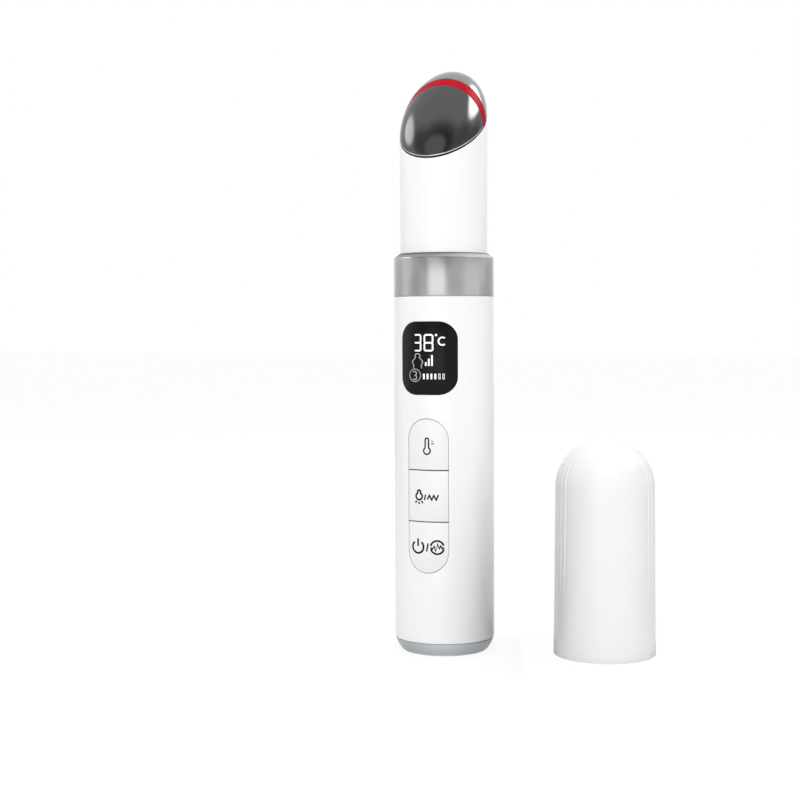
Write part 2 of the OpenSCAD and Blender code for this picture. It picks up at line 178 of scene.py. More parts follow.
class Wire:
    """An output socket of a material's nodes, used like a number in expressions."""

    def __init__(self, graph, socket):
        self.graph = graph
        self.socket = socket

    def maths(self, operation, first, second):
        return self.graph.node("ShaderNodeMath", {"operation": operation}, {0: first, 1: second})

    def __add__(self, other):
        return self.maths("ADD", self, other)

    def __radd__(self, other):
        return self.maths("ADD", other, self)

    def __sub__(self, other):
        return self.maths("SUBTRACT", self, other)

    def __rsub__(self, other):
        return self.maths("SUBTRACT", other, self)

    def __mul__(self, other):
        return self.maths("MULTIPLY", self, other)

    def __rmul__(self, other):
        return self.maths("MULTIPLY", other, self)

    def __truediv__(self, other):
        return self.maths("DIVIDE", self, other)

    def __gt__(self, other):
        return self.maths("GREATER_THAN", self, other)

    def __pow__(self, other):
        return self.maths("POWER", self, other)

    def __abs__(self):
        return self.maths("ABSOLUTE", self, 0.0)


class Graph:
    """A node tree under construction."""

    def __init__(self, tree):
        self.tree = tree

    def node(self, kind, settings=None, inputs=None, output=0):
        """Adds a node, sets it up, feeds its sockets and returns one of its outputs as a Wire."""
        made = self.tree.nodes.new(kind)
        for name, value in (settings or {}).items():
            if name == "stops":
                self.set_stops(made.color_ramp.elements, value)
            else:
                setattr(made, name, value)
        for key, value in (inputs or {}).items():
            self.feed(made.inputs[key], value)
        return Wire(self, made.outputs[output])

    def feed(self, socket, value):
        if isinstance(value, Wire):
            self.tree.links.new(value.socket, socket)
        else:
            socket.default_value = value

    def set_stops(self, elements, stops):
        while len(elements) < len(stops):
            elements.new(1)
        for element, (place, shade) in zip(elements, stops):
            element.position = place
            element.color = (*shade, 1)


class Finish(Graph):
    """A material: its node tree and the Principled shader that the tree feeds."""

    def __init__(self, name, constants=None):
        self.material = bpy.data.materials.new(name)
        self.material.use_nodes = True
        super().__init__(self.material.node_tree)
        self.shader = self.tree.nodes["Principled BSDF"]
        for socket, value in (constants or {}).items():
            self.set(socket, value)
        self.place = self.node("ShaderNodeTexCoord", output="Object")
        self.lit = Wire(self, self.shader.outputs[0])

    def set(self, socket, value):
        target = self.shader.inputs[socket]
        if not isinstance(value, Wire) and target.type == "RGBA":
            value = (*value, 1)
        self.feed(target, value)

    def noise(self, size, detail=2, stretch=(1, 1, 1)):
        """Noise with features of about that size in millimetres, stretched along the axes."""
        place = self.node("ShaderNodeMapping", None, {"Vector": self.place, "Scale": stretch})
        noise = {"Vector": place, "Scale": 1 / (size * MM), "Detail": detail}
        return self.node("ShaderNodeTexNoise", None, noise)

    def part(self, axis):
        """The place on the piece along one axis, in metres."""
        return self.node("ShaderNodeSeparateXYZ", None, {"Vector": self.place}, output=axis)

    def ramp(self, value, *stops):
        """A value between 0 and 1 turned into another by a ramp of (place, level) stops."""
        return self.node(
            "ShaderNodeValToRGB", {"stops": [(p, (v, v, v)) for p, v in stops]}, {"Fac": value}
        )

    def blend(self, mask, first, second):
        """A colour between two, by a mask."""
        ends = [c if isinstance(c, Wire) else (*c, 1) for c in (first, second)]
        return self.node(
            "ShaderNodeMix", {"data_type": "RGBA"}, {0: mask, 6: ends[0], 7: ends[1]}, output=2
        )

    def relief(self, height, depth):
        """Bump of that depth in millimetres."""
        bump = {"Strength": 1.0, "Distance": depth * MM, "Height": height}
        self.set("Normal", self.node("ShaderNodeBump", None, bump))

    def show(self, factor, first, second):
        """Shows a mix of two shaders in place of the Principled shader alone."""
        mixed = self.node("ShaderNodeMixShader", None, {0: factor, 1: first, 2: second})
        self.feed(self.tree.nodes["Material Output"].inputs["Surface"], mixed)
        return self.material


def seen_rays(graph):
    """1 for the rays that see the surroundings: straight, in a reflection or through glass."""
    kinds = ("Is Camera Ray", "Is Glossy Ray", "Is Transmission Ray")
    camera, glossy, through = (graph.node("ShaderNodeLightPath", output=kind) for kind in kinds)
    return camera + glossy + through


def scaled(shade, factor):
    """A shade made lighter or darker."""
    return tuple(min(c * factor, 1) for c in shade)


def soft_card(name, size, level, softness, squareness):
    """A reflector's glow, which fades out towards its edges. It is an oval with a squareness of 2,
    and with a greater one a rectangle with rounded corners."""
    finish = Finish(name)
    across, up = (abs(finish.part(axis)) / (side / 2) for axis, side in zip("XY", size))
    far = (across**squareness + up**squareness) ** (1 / squareness)
    fade = finish.node(
        "ShaderNodeMapRange",
        {"interpolation_type": "SMOOTHSTEP"},
        {"Value": far, "From Min": 1 - softness, "From Max": 1.0, "To Min": 1.0, "To Max": 0.0},
    )
    glow = finish.node("ShaderNodeEmission", None, {"Strength": level})
    return finish.show(fade, finish.node("ShaderNodeBsdfTransparent"), glow)


def flag_cloth(name, front, back):
    """Dark cloth that shades what lies near it, with its cover seen from each side. Seen from its
    back it thins out upwards."""
    finish = Finish(name, {"Base Color": (0.04, 0.04, 0.04), "Roughness": 0.9})
    behind = finish.node("ShaderNodeNewGeometry", output="Backfacing")
    low = finish.ramp(0.5 - finish.part("Y") / FLAG_HEIGHT, (0.2, 0.0), (1.0, 1.0))
    thick = behind * low * back + (1.0 - behind) * front
    return finish.show(thick, finish.node("ShaderNodeBsdfTransparent"), finish.lit)


def gloss_plastic(name, shade, gloss, coat=0.0):
    """Glossy moulded plastic: a faint flow of colour, an uneven polish and a fine orange peel."""
    finish = Finish(name, {"IOR": 1.5, "Coat Weight": coat, "Coat Roughness": 0.05})
    flow = finish.noise(16, 1, (1, 1, 0.3))
    peel = finish.noise(2.2, 2)
    smear = finish.noise(9, 1, (1, 1, 0.5))
    finish.set("Base Color", finish.blend(flow, scaled(shade, 0.99), scaled(shade, 1.01)))
    finish.set("Roughness", smear * 0.03 + peel * 0.02 + gloss)
    finish.relief(peel, 0.002)
    return finish.material


def turned_metal(name, shade, rough, span, matt_from, painted_shading):
    """Satin metal with fine lathe lines. A painted shading darkens or brightens it over a span of height, as
    painted shade and painted highlight, and above the share matt_from of that span it is matt."""
    finish = Finish(name, {"Metallic": 1.0})
    low, high = span
    along = (finish.part("Z") - low) / (high - low)
    lines = finish.noise(0.35, 3, (0.012, 0.012, 1))
    smear = finish.noise(9, 2)
    # Painted shading over the height, with the lathe lines and smears on it.
    tone = finish.ramp(along, *painted_shading) + (lines - 0.5) * 0.04 + (smear - 0.5) * 0.03
    finish.set("Base Color", finish.blend(tone, scaled(shade, 0.3), scaled(shade, 1.3)))
    finish.set("Roughness", lines * 0.03 + smear * 0.04 + (rough - 0.035) + (along > matt_from) * 0.6)
    finish.relief(lines, 0.0003)
    return finish.material


def polished_metal(name, shade, rough, cut_edge):
    """Polished metal with a thin haze of handling, and a painted highlight on the rounded edge round its rim.
    """
    finish = Finish(name, {"Metallic": 1.0})
    haze = finish.noise(5, 4)
    grain = finish.noise(0.25, 2)
    # The rim's rounded edge is painted in the highlight colour: a painted highlight.
    edge = finish.node("ShaderNodeAttribute", {"attribute_name": "cut_edge"}, output="Fac")
    tone = finish.blend(haze, scaled(shade, 0.94), scaled(shade, 1.06))
    finish.set("Base Color", finish.blend(edge, tone, cut_edge))
    finish.set("Roughness", finish.ramp(haze * 0.8 + grain * 0.2, (0.35, rough), (0.75, rough + 0.06)))
    finish.relief(grain, 0.0004)
    return finish.material


def light_lens(name, shade):
    """Red lens, faintly lit from behind. Its colour and its faint glow are painted darker towards its lower
    ends, as painted shade, and are brightest at its crown.
    """
    finish = Finish(name, {"IOR": 1.49, "Specular IOR Level": 0.03, "Emission Strength": 0.04})
    rise = (finish.part("Z") - 140 * MM) / (17 * MM)
    cloud = finish.noise(1.6, 2)
    # Painted shade: the lens darkens towards its lower ends.
    glow = finish.ramp(rise, (0.0, 0.35), (0.75, 1.0))
    finish.set("Base Color", finish.blend(glow, scaled(shade, 0.55), shade))
    finish.set("Emission Color", finish.blend(glow * (cloud * 0.2 + 0.8), (0.08, 0, 0), (0.9, 0.012, 0.02)))
    finish.set("Roughness", cloud * 0.1 + 0.3)
    return finish.material


def glass_pane(name, shade):
    """Black display pane with faint finger haze."""
    finish = Finish(name, {"IOR": 1.5, "Specular IOR Level": 0.15})
    haze = finish.noise(4, 4, (1, 1, 0.6))
    finish.set("Base Color", finish.blend(haze, scaled(shade, 0.7), scaled(shade, 1.5)))
    finish.set("Roughness", finish.ramp(haze, (0.4, 0.10), (0.75, 0.2)))
    return finish.material


def grained(name, constants, grain, shades, rough=None, depth=0.0, glows=None):
    """A finish whose colour, polish, relief and glow follow one noise, given by its size in
    millimetres, its detail and its stretch."""
    finish = Finish(name, constants)
    cloud = finish.noise(*grain)
    finish.set("Base Color", finish.blend(cloud, *shades))
    if rough:
        finish.set("Roughness", finish.ramp(cloud, (0.3, rough[0]), (0.7, rough[1])))
    if depth:
        finish.relief(cloud, depth)
    if glows:
        finish.set("Emission Color", finish.blend(cloud, *glows))
    return finish.material


def lit_mark(name, shade, glow):
    """A mark of the display, lit from behind."""
    constants = {"Roughness": 0.4, "Emission Strength": glow}
    shades, glows = ((scaled(shade, low), shade) for low in (0.92, 0.85))
    return grained(name, constants, (0.3, 2), shades, glows=glows)


def brushed_steel(name, shade, rough):
    """Steel with brush strokes along the wand."""
    shades = (scaled(shade, 0.85), scaled(shade, 1.1))
    polish = (rough - 0.06, rough + 0.1)
    return grained(name, {"Metallic": 1.0}, (0.2, 3, (1, 1, 0.06)), shades, polish, 0.006)


def matt_moulding(name, shade, rough):
    """Unpolished plastic or rubber with a fine spark-eroded grain."""
    finish = Finish(name, {"Specular IOR Level": 0.3})
    grain = finish.noise(0.22, 3)
    cloud = finish.noise(5, 3)
    finish.set("Base Color", finish.blend(cloud * 0.6 + grain * 0.4, scaled(shade, 0.85), scaled(shade, 1.1)))
    finish.set("Roughness", finish.ramp(grain, (0.3, rough - 0.08), (0.7, rough + 0.1)))
    finish.relief(grain, 0.02)
    return finish.material


def circuit_board(name):
    """Green solder mask over copper tracks, with tinned pads."""
    finish = Finish(name, {"Roughness": 0.38})
    cell = {"Vector": finish.place, "Scale": 1 / (2.4 * MM), "Randomness": 0.25}
    edge = finish.node("ShaderNodeTexVoronoi", {"feature": "DISTANCE_TO_EDGE"}, cell)
    pads = finish.node("ShaderNodeTexVoronoi", {"feature": "F1", "distance": "CHEBYCHEV"}, cell)
    track = finish.ramp(edge, (0.04, 1.0), (0.07, 0.0))
    pad = finish.ramp(pads, (0.13, 1.0), (0.16, 0.0))
    mask = finish.blend(track, (0.006, 0.085, 0.035), (0.02, 0.20, 0.08))
    finish.set("Base Color", finish.blend(pad, mask, (0.55, 0.53, 0.47)))
    finish.set("Metallic", pad * 0.9)
    finish.relief(track * 0.5 + pad, 0.03)
    return finish.material


def cell_wrap(name):
    """Shrink-wrapped battery cell: satin blue film with a printed ring near each end."""
    finish = Finish(name, {"Coat Weight": 0.3})
    crease = finish.noise(1.6, 4, (1, 1, 0.15))
    low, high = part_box("battery")
    along = (finish.part("Z") - low.z) / (high.z - low.z)
    ring = finish.ramp(along, (0.05, 0.0), (0.055, 1.0), (0.08, 1.0), (0.085, 0.0), (0.9, 0.0), (0.905, 1.0))
    finish.set("Base Color", finish.blend(ring, (0.03, 0.11, 0.32), (0.62, 0.66, 0.7)))
    finish.set("Roughness", finish.ramp(crease, (0.3, 0.28), (0.7, 0.42)))
    finish.relief(crease, 0.03)
    return finish.material


def heater_foil(name):
    """Amber film with the copper track of the heater running to and fro in it."""
    finish = Finish(name, {"Roughness": 0.35})
    wave = finish.node(
        "ShaderNodeTexWave",
        {"wave_type": "BANDS", "bands_direction": "X"},
        {"Vector": finish.place, "Scale": 0.3 / MM, "Distortion": 0.4},
    )
    track = finish.ramp(wave, (0.45, 0.0), (0.55, 1.0))
    finish.set("Base Color", finish.blend(track, (0.55, 0.23, 0.03), (0.75, 0.36, 0.2)))
    finish.set("Metallic", track * 0.85)
    finish.relief(track, 0.02)
    return finish.material


def make_finishes(shades):
    """Every finish by its slot in the record, with the lit marks and the keys' ink."""
    collar_span = (HANDLE_HIGH.z, COLLAR_HIGH.z)
    # Painted shade over the collar's height: darker at its foot, on its shoulder and in a dark line along its
    # top edge.
    collar_painted_shade = ((0.0, 0.45), (0.04, 0.7), (0.885, 0.7), (0.9, 0.62), (0.95, 0.62), (0.985, 0.05))
    # Painted light over the base's height: a painted reflection lighter at its foot, and painted shade darker
    # at its top edge under the parting line.
    base_painted_light = ((0.04, 1.0), (0.14, 0.7), (0.9, 0.7), (0.98, 0.3))
    frosts = ((0.75, 0.77, 0.8), (0.86, 0.87, 0.9))
    reds = ((0.5, 0.01, 0.02), (0.8, 0.03, 0.04))
    red_glows = ((0.8, 0.02, 0.02), (1.0, 0.08, 0.05))
    led = {"IOR": 1.5, "Roughness": 0.2, "Emission Strength": 1.5}
    ink = {"Roughness": 0.6, "Specular IOR Level": 0.12}
    makers = {
        "white_gloss": (gloss_plastic, shades.body, 0.2, 0.35),
        "cap_white": (gloss_plastic, shades.cap, 0.24, 0.2),
        "key_white": (gloss_plastic, shades.key, 0.3),
        "collar_metal": (turned_metal, shades.collar, 0.2, collar_span, 0.89, collar_painted_shade),
        "base_metal": (turned_metal, shades.base, 0.34, (0.0, HANDLE_LOW.z), 2.0, base_painted_light),
        "window_black": (glass_pane, shades.pane),
        "light_guide": (grained, {"IOR": 1.49}, (0.4, 3), frosts, (0.4, 0.6), 0.01),
        "dark_chrome": (polished_metal, shades.plate, 0.1, shades.cut_edge),
        "silver_chrome": (polished_metal, shades.back, 0.13, shades.cut_edge),
        "red_lens": (light_lens, shades.band),
        "red_led": (grained, led, (0.8, 2), reds, None, 0.0, red_glows),
        "black_rubber": (matt_moulding, (0.008, 0.008, 0.009), 0.75),
        "frame_plastic": (matt_moulding, (0.6, 0.61, 0.63), 0.5),
        "board_green": (circuit_board,),
        "screw_steel": (brushed_steel, (0.55, 0.55, 0.56), 0.3),
        "switch_steel": (brushed_steel, (0.6, 0.6, 0.62), 0.26),
        "stem_black": (matt_moulding, (0.025, 0.025, 0.028), 0.5),
        "cell_wrap": (cell_wrap,),
        "motor_steel": (brushed_steel, (0.5, 0.5, 0.51), 0.3),
        "weight_steel": (brushed_steel, (0.3, 0.3, 0.31), 0.42),
        "heater_copper": (heater_foil,),
        "bead_black": (matt_moulding, (0.03, 0.03, 0.033), 0.4),
        "bright_mark": (lit_mark, shades.lit, 0.3),
        "dim_mark": (lit_mark, scaled(shades.lit, 0.42), 0.2),
        "key_ink": (grained, ink, (0.12, 3), (shades.ink, scaled(shades.ink, 1.9)), None, 0.004),
    }
    return {name: maker(name, *details) for name, (maker, *details) in makers.items()}


def finish_of(slot):
    """The finish of a slot. All of them are made the first time that one is asked for."""
    if not FINISHES:
        FINISHES.update(make_finishes(bpy.context.scene.wand_colours))
    return FINISHES[slot]


# Modelling


def only(kind, items):
    """The verts, edges or faces among an operator's results."""
    return [item for item in items if isinstance(item, kind)]


def linked(name, bm):
    """A new object of the scene, made from a form. The form is freed."""
    mesh = bpy.data.meshes.new(name)
    bm.to_mesh(mesh)
    bm.free()
    made = bpy.data.objects.new(name, mesh)
    bpy.context.scene.collection.objects.link(made)
    return made


def add_piece(name, bm, body, slot, replaced=(), finish=None, crease=34):
    """Turns a finished form into a piece that rides on a body and stands for CAD nodes."""
    piece = linked(name, bm)
    mesh = piece.data
    mesh.polygons.foreach_set("use_smooth", [True] * len(mesh.polygons))
    mesh.set_sharp_from_angle(angle=math.radians(crease))
    mesh.materials.append(finish_of(finish or slot))
    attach(piece, body)
    if replaced:
        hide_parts(*replaced)


def carve(bm, tool, operation="DIFFERENCE"):
    """Cuts one closed form out of another, or joins the two, and frees them both."""
    pair = [linked("carving", form) for form in (bm, tool)]
    carving = pair[0].modifiers.new("Carve", "BOOLEAN")
    carving.operation = operation
    carving.solver = "EXACT"
    carving.object = pair[1]
    bpy.context.view_layer.update()
    carved = pair[0].evaluated_get(bpy.context.evaluated_depsgraph_get())
    result = bmesh.new()
    result.from_mesh(carved.to_mesh())
    carved.to_mesh_clear()
    for done in pair:
        mesh = done.data
        bpy.data.objects.remove(done)
        bpy.data.meshes.remove(mesh)
    return result


def bevel(bm, geom, radius, segments=4, affect="VERTICES"):
    """Rounds corners, or edges."""
    bmesh.ops.bevel(
        bm,
        geom=geom,
        offset=radius,
        offset_type="OFFSET",
        segments=segments,
        profile=0.5,
        affect=affect,
        material=-1,
    )


def face_out(bm):
    """Turns all faces outwards."""
    bmesh.ops.recalc_face_normals(bm, faces=bm.faces[:])


def slice_form(bm, place, normal, dist=TOUCH, clear_outer=False):
    """Cuts a form's faces along a plane, clears what lies outside it if asked to, and returns what
    lies on the plane."""
    whole = bm.verts[:] + bm.edges[:] + bm.faces[:]
    made = bmesh.ops.bisect_plane(
        bm, geom=whole, dist=dist, plane_co=place, plane_no=normal, clear_outer=clear_outer
    )
    return made["geom_cut"]


class Outline:
    """The closed outline of a turned piece, drawn in the X-Z plane with X as the radius."""

    def __init__(self, radius, height):
        self.bm = bmesh.new()
        self.first = self.last = self.bm.verts.new((radius, 0, height))
        self.corners = {}

    def line(self, radius, height, rounding=0.0, steps=1):
        start = self.last.co.copy()
        end = Vector((radius, 0, height))
        for step in range(1, steps + 1):
            made = bmesh.ops.extrude_vert_indiv(self.bm, verts=[self.last])
            self.last = made["verts"][0]
            self.last.co = start.lerp(end, step / steps)
        return self.soften(rounding) if rounding else self

    def soften(self, rounding):
        """Gives the corner at the last point a rounding."""
        self.corners.setdefault(rounding, []).append(self.last)
        return self

    def arc(self, radius, height, degrees, steps):
        """Turns on about a centre, from the radius towards the height where degrees are above 0."""
        made = bmesh.ops.spin(
            self.bm,
            geom=[self.last],
            cent=(radius, 0, height),
            axis=(0, -1, 0),
            angle=math.radians(degrees),
            steps=steps,
        )
        self.last = only(bmesh.types.BMVert, made["geom_last"])[0]
        return self

    def turn(self, steps=TURN_STEPS, centre=(0, 0), start=0.0, parts=None):
        """Closes the outline, rounds its corners and turns it into a solid. It may be turned in
        parts of (angle, steps), so that only some of them are fine."""
        bm = self.bm
        bm.edges.new((self.last, self.first))
        bmesh.ops.contextual_create(bm, geom=bm.edges[:])
        for rounding, verts in self.corners.items():
            bevel(bm, verts, rounding)
        bmesh.ops.delete(bm, geom=bm.faces[:], context="FACES_ONLY")
        inner = [e for e in bm.edges if max(v.co.x for v in e.verts) < MERGE]
        bmesh.ops.delete(bm, geom=inner, context="EDGES")
        bmesh.ops.rotate(bm, matrix=Matrix.Rotation(start, 3, "Z"), verts=bm.verts[:])
        line = bm.verts[:] + bm.edges[:]
        for angle, count in parts or [(FULL_TURN, steps)]:
            made = bmesh.ops.spin(
                bm,
                geom=line,
                cent=(0, 0, 0),
                axis=(0, 0, 1),
                angle=angle,
                steps=count,
                use_merge=parts is None,
            )
            line = made["geom_last"]
        bmesh.ops.remove_doubles(bm, verts=bm.verts[:], dist=MERGE)
        face_out(bm)
        bmesh.ops.translate(bm, verts=bm.verts[:], vec=(*centre, 0))
        return bm


def cut(bm, height, slope, keep_below):
    """Cuts a tube along a plane that rises to the back, and closes its wall."""
    normal = Matrix.Rotation(slope, 3, "X") @ Vector((0, 0, 1 if keep_below else -1))
    rims = only(bmesh.types.BMEdge, slice_form(bm, (0, 0, height), normal, clear_outer=True))
    bmesh.ops.bridge_loops(bm, edges=rims)
    return rims


def flat_form(width, height, corner, middle, depth, arc_steps):
    """A face in the X-Z plane with rounded corners, that much below the surface. Y is the depth."""
    bm = bmesh.new()
    face = bmesh.ops.create_grid(bm, x_segments=1, y_segments=1, size=0.5)["verts"]
    bmesh.ops.scale(bm, vec=(width, height, 1), verts=face)
    bmesh.ops.rotate(bm, matrix=Matrix.Rotation(math.radians(90), 3, "X"), verts=face)
    bmesh.ops.translate(bm, vec=(0, depth, middle), verts=face)
    reach = min(corner, width / 2 - 1e-6)
    bevel(bm, bm.verts[:], reach, arc_steps)
    bmesh.ops.remove_doubles(bm, verts=bm.verts[:], dist=4e-6)
    return bm


def push(bm, face, depth):
    """Pushes a face to another depth, with walls behind it."""
    shut_in = not face.edges[0].is_boundary
    made = bmesh.ops.extrude_face_region(bm, geom=[face])["geom"]
    if shut_in:
        bmesh.ops.delete(bm, geom=[face], context="FACES_ONLY")
    for vert in only(bmesh.types.BMVert, made):
        vert.co.y = depth


def round_over(bm, face, radius, outwards, steps=3):
    """Rounds a form's edge over by insets of its face. A piece rises as it narrows (outwards), and
    a cutter narrows as it sinks, so that the hole that it leaves has a rounded lip."""
    for step in range(steps):
        a, b = (math.radians(90) * (step + k) / steps for k in (0, 1))
        inset = radius * (math.cos(a) - math.cos(b))
        rise = radius * (math.sin(b) - math.sin(a))
        if not outwards:
            inset, rise = rise, inset
        bmesh.ops.inset_region(bm, faces=[face], thickness=inset, depth=rise, use_even_offset=True)


def wrap(bm, radius, pitch=0.5 * MM):
    """Slices a flat form along the wand and bends it onto the handle's front."""
    reach = max(abs(v.co.x) for v in bm.verts)
    for step in range(-int(reach / pitch), int(reach / pitch) + 1):
        slice_form(bm, (step * pitch, 0, 0), (1, 0, 0), 1e-6)
    for vert in bm.verts:
        shell = radius - vert.co.y
        vert.co.y = -math.sqrt(max(shell * shell - vert.co.x * vert.co.x, 0))
    face_out(bm)
    return bm


def thicken(bm, thick, edge, radius):
    """Gives a flat form its thickness and a softened front edge, and bends it onto a cylinder."""
    push(bm, bm.faces[:][0], thick)
    face_out(bm)
    front = min(bm.faces, key=lambda f: f.calc_center_median().y)
    round_over(bm, front, edge, outwards=True)
    return wrap(bm, radius)


def cutter(width, height, corner, middle, deep, lip, arc_steps=12):
    """The cutter of a flat opening that narrows by a rounded lip."""
    bm = flat_form(width, height, corner, middle, -CLEAR, arc_steps)
    push(bm, bm.faces[:][0], 0)
    face_out(bm)
    face = max(bm.faces, key=lambda f: f.calc_center_median().y)
    if lip:
        round_over(bm, face, lip, outwards=False)
    push(bm, face, deep)
    return bm


def opening(width, height, corner, middle, radius, deep, lip, arc_steps=12):
    """The cutter of an opening in the handle's front, with a rounded lip."""
    width, height = width + 2 * lip, height + 2 * lip
    return wrap(cutter(width, height, corner + lip, middle, deep, lip, arc_steps), radius)


# Marks, drawn in millimetres as (x, z) on the handle's front


def ring_points(x, z, radius, start, end, steps):
    """Points along an arc between two angles in degrees."""
    turns = [math.radians(start + (end - start) * k / steps) for k in range(steps + 1)]
    return [(x + radius * math.cos(a), z + radius * math.sin(a)) for a in turns]


def stroke(bm, points, width, closed=False, taper=1.0):
    """A flat line in the X-Z plane, mitred at its corners. Taper narrows its two ends."""
    spots = [Vector(p) for p in points]
    count = len(spots)
    left, right = [], []
    for k, spot in enumerate(spots):
        before = spots[k - 1] if closed or k else spot
        after = spots[(k + 1) % count] if closed or k < count - 1 else spot
        into = (spot - before).normalized() if before != spot else (after - spot).normalized()
        out = (after - spot).normalized() if after != spot else into
        along = (into + out).normalized()
        side = Vector((-along.y, along.x))
        half = width / 2 / max(side.dot(Vector((-into.y, into.x))), 0.5)
        if not closed and k in (0, count - 1):
            half *= taper
        left.append(spot + side * half)
        right.append(spot - side * half)
    line = [bm.verts.new((p.x * MM, 0, p.y * MM)) for p in left]
    edges = [bm.edges.new(line[k : k + 2]) for k in range(count - 1)]
    if closed:
        edges.append(bm.edges.new((line[-1], line[0])))
    place = {v: k for k, v in enumerate(line)}
    made = bmesh.ops.extrude_edge_only(bm, edges=edges)["geom"]
    for vert in only(bmesh.types.BMVert, made):
        source = next(e.other_vert(vert) for e in vert.link_edges if e.other_vert(vert) in place)
        vert.co = (right[place[source]].x * MM, 0, right[place[source]].y * MM)


def bar(bm, x0, z0, x1, z1, width):
    """A segment of a digit, with pointed ends."""
    start, end = Vector((x0, z0)), Vector((x1, z1))
    point = (end - start).normalized() * width * 0.35
    stroke(bm, [start, start + point, end - point, end], width, taper=0.3)


def digit(bm, x0, z0, x1, z1, width, segments):
    """A seven-segment digit between two corners. Segments are lettered a to g as usual."""
    gap = width * 0.12
    half = width / 2
    left, right, low, high = x0 + half, x1 - half, z0 + half, z1 - half
    middle = (z0 + z1) / 2
    lines = {
        "a": (left + gap, high, right - gap, high),
        "b": (right, middle + gap, right, high - gap),
        "c": (right, low + gap, right, middle - gap),
        "d": (left + gap, low, right - gap, low),
        "e": (left, low + gap, left, middle - gap),
        "f": (left, middle + gap, left, high - gap),
        "g": (left + gap, middle, right - gap, middle),
    }
    for name in segments:
        bar(bm, *lines[name], width)


def raise_marks(bm, radius, proud):
    """Gives flat marks their thickness and bends them onto the handle's front."""
    bmesh.ops.remove_doubles(bm, verts=bm.verts[:], dist=MERGE)
    for vert in bm.verts:
        vert.co.y = proud
    made = bmesh.ops.extrude_face_region(bm, geom=bm.faces[:])["geom"]
    for vert in only(bmesh.types.BMVert, made):
        vert.co.y = -proud
    face_out(bm)
    return wrap(bm, radius, 0.35 * MM)


def display_marks(bm):
    """Digits, unit sign, level bars and a row of blocks."""
    digit(bm, -3.72, 81.2, -1.47, 85.78, 0.42, "abcdg")
    digit(bm, -0.79, 81.2, 1.91, 85.78, 0.44, "abcdefg")
    stroke(bm, ring_points(2.62, 85.5, 0.15, 0, 330, 11), 0.3, closed=True)
    stroke(bm, ring_points(4.22, 83.9, 1.0, 52, 308, 22), 0.4)
    for k in range(3):
        x = -0.2 + 0.85 * k
        stroke(bm, [(x, 77.4), (x, 78.35 + 0.95 * k)], 0.46)
    for k, x in enumerate((-1.1, -0.05, 1.0, 2.05, 3.1, 4.15)):
        if k < 4:
            stroke(bm, [(x + 0.34, 73.9), (x + 0.34, 75.35)], 0.5)
        else:
            box = [(x + 0.16, 73.96), (x + 0.54, 73.96), (x + 0.54, 75.29), (x + 0.16, 75.29)]
            stroke(bm, box, 0.13, closed=True)


def dim_marks(bm):
    """The marks that are lit faintly: the lamp outline and the circled digit."""
    lamp = [(-3.88, 76.75), (-3.8, 77.45), (-4.26, 78.5), (-3.2, 79.65), (-3.46, 80.07), (-3.13, 80.55)]
    mirror = [(-5.3 - x, z) for x, z in reversed(lamp)]
    stroke(bm, lamp + mirror, 0.24)
    stroke(bm, ring_points(-3.42, 74.9, 1.68, 0, 350, 35), 0.19, closed=True)
    three = ring_points(-3.52, 75.42, 0.55, 150, -80, 10) + ring_points(-3.52, 74.32, 0.6, 80, -150, 10)
    stroke(bm, three, 0.27)


def temperature_marks(bm):
    """A thermometer with two short dashes beside it."""
    bulb = ring_points(0.01, 54.98, 0.92, 124, 416, 26)
    top = ring_points(0.01, 57.88, 0.47, 0, 180, 10)
    stroke(bm, bulb + [(0.48, 57.0)] + top + [(-0.46, 57.0)], 0.4, closed=True)
    stroke(bm, [(1.2, 57.55), (1.72, 57.55)], 0.22)
    stroke(bm, [(1.2, 56.88), (1.95, 56.88)], 0.28)


def mode_marks(bm):
    """A lamp with three rays, a slash and a zigzag."""
    bulb = ring_points(-2.3, 42.85, 0.92, 118, 422, 26)
    stroke(bm, bulb + [(-1.86, 44.1), (-2.0, 44.42), (-2.6, 44.42), (-2.74, 44.1)], 0.48, closed=True)
    stroke(bm, [(-3.02, 41.62), (-3.42, 41.08)], 0.44)
    stroke(bm, [(-2.3, 41.42), (-2.3, 40.76)], 0.44)
    stroke(bm, [(-1.57, 41.62), (-1.18, 41.08)], 0.44)
    stroke(bm, [(-0.4, 43.4), (-0.7, 41.9)], 0.4)
    zigzag = [(0.08, 42.1), (0.68, 43.2), (1.33, 42.0), (1.9, 43.2), (2.5, 42.0), (3.1, 43.35)]
    stroke(bm, zigzag, 0.43)


def power_marks(bm):
    """A power symbol, a slash and a pulse in a circle."""
    stroke(bm, ring_points(-2.66, 29.38, 1.64, 128, 412, 30), 0.52)
    stroke(bm, [(-2.66, 31.6), (-2.66, 29.6)], 0.52)
    stroke(bm, [(0.28, 30.45), (-0.17, 28.25)], 0.42)
    stroke(bm, ring_points(2.74, 29.4, 1.76, 18, 168, 18), 0.48)
    stroke(bm, ring_points(2.74, 29.4, 1.76, 195, 345, 18), 0.48)
    pulse = [(0.9, 29.42), (1.45, 28.9), (1.95, 29.75), (2.35, 28.35), (2.85, 30.4), (3.3, 29.1)]
    stroke(bm, pulse + [(3.7, 29.9), (4.05, 29.1), (4.55, 29.4)], 0.38)


# The head's dome


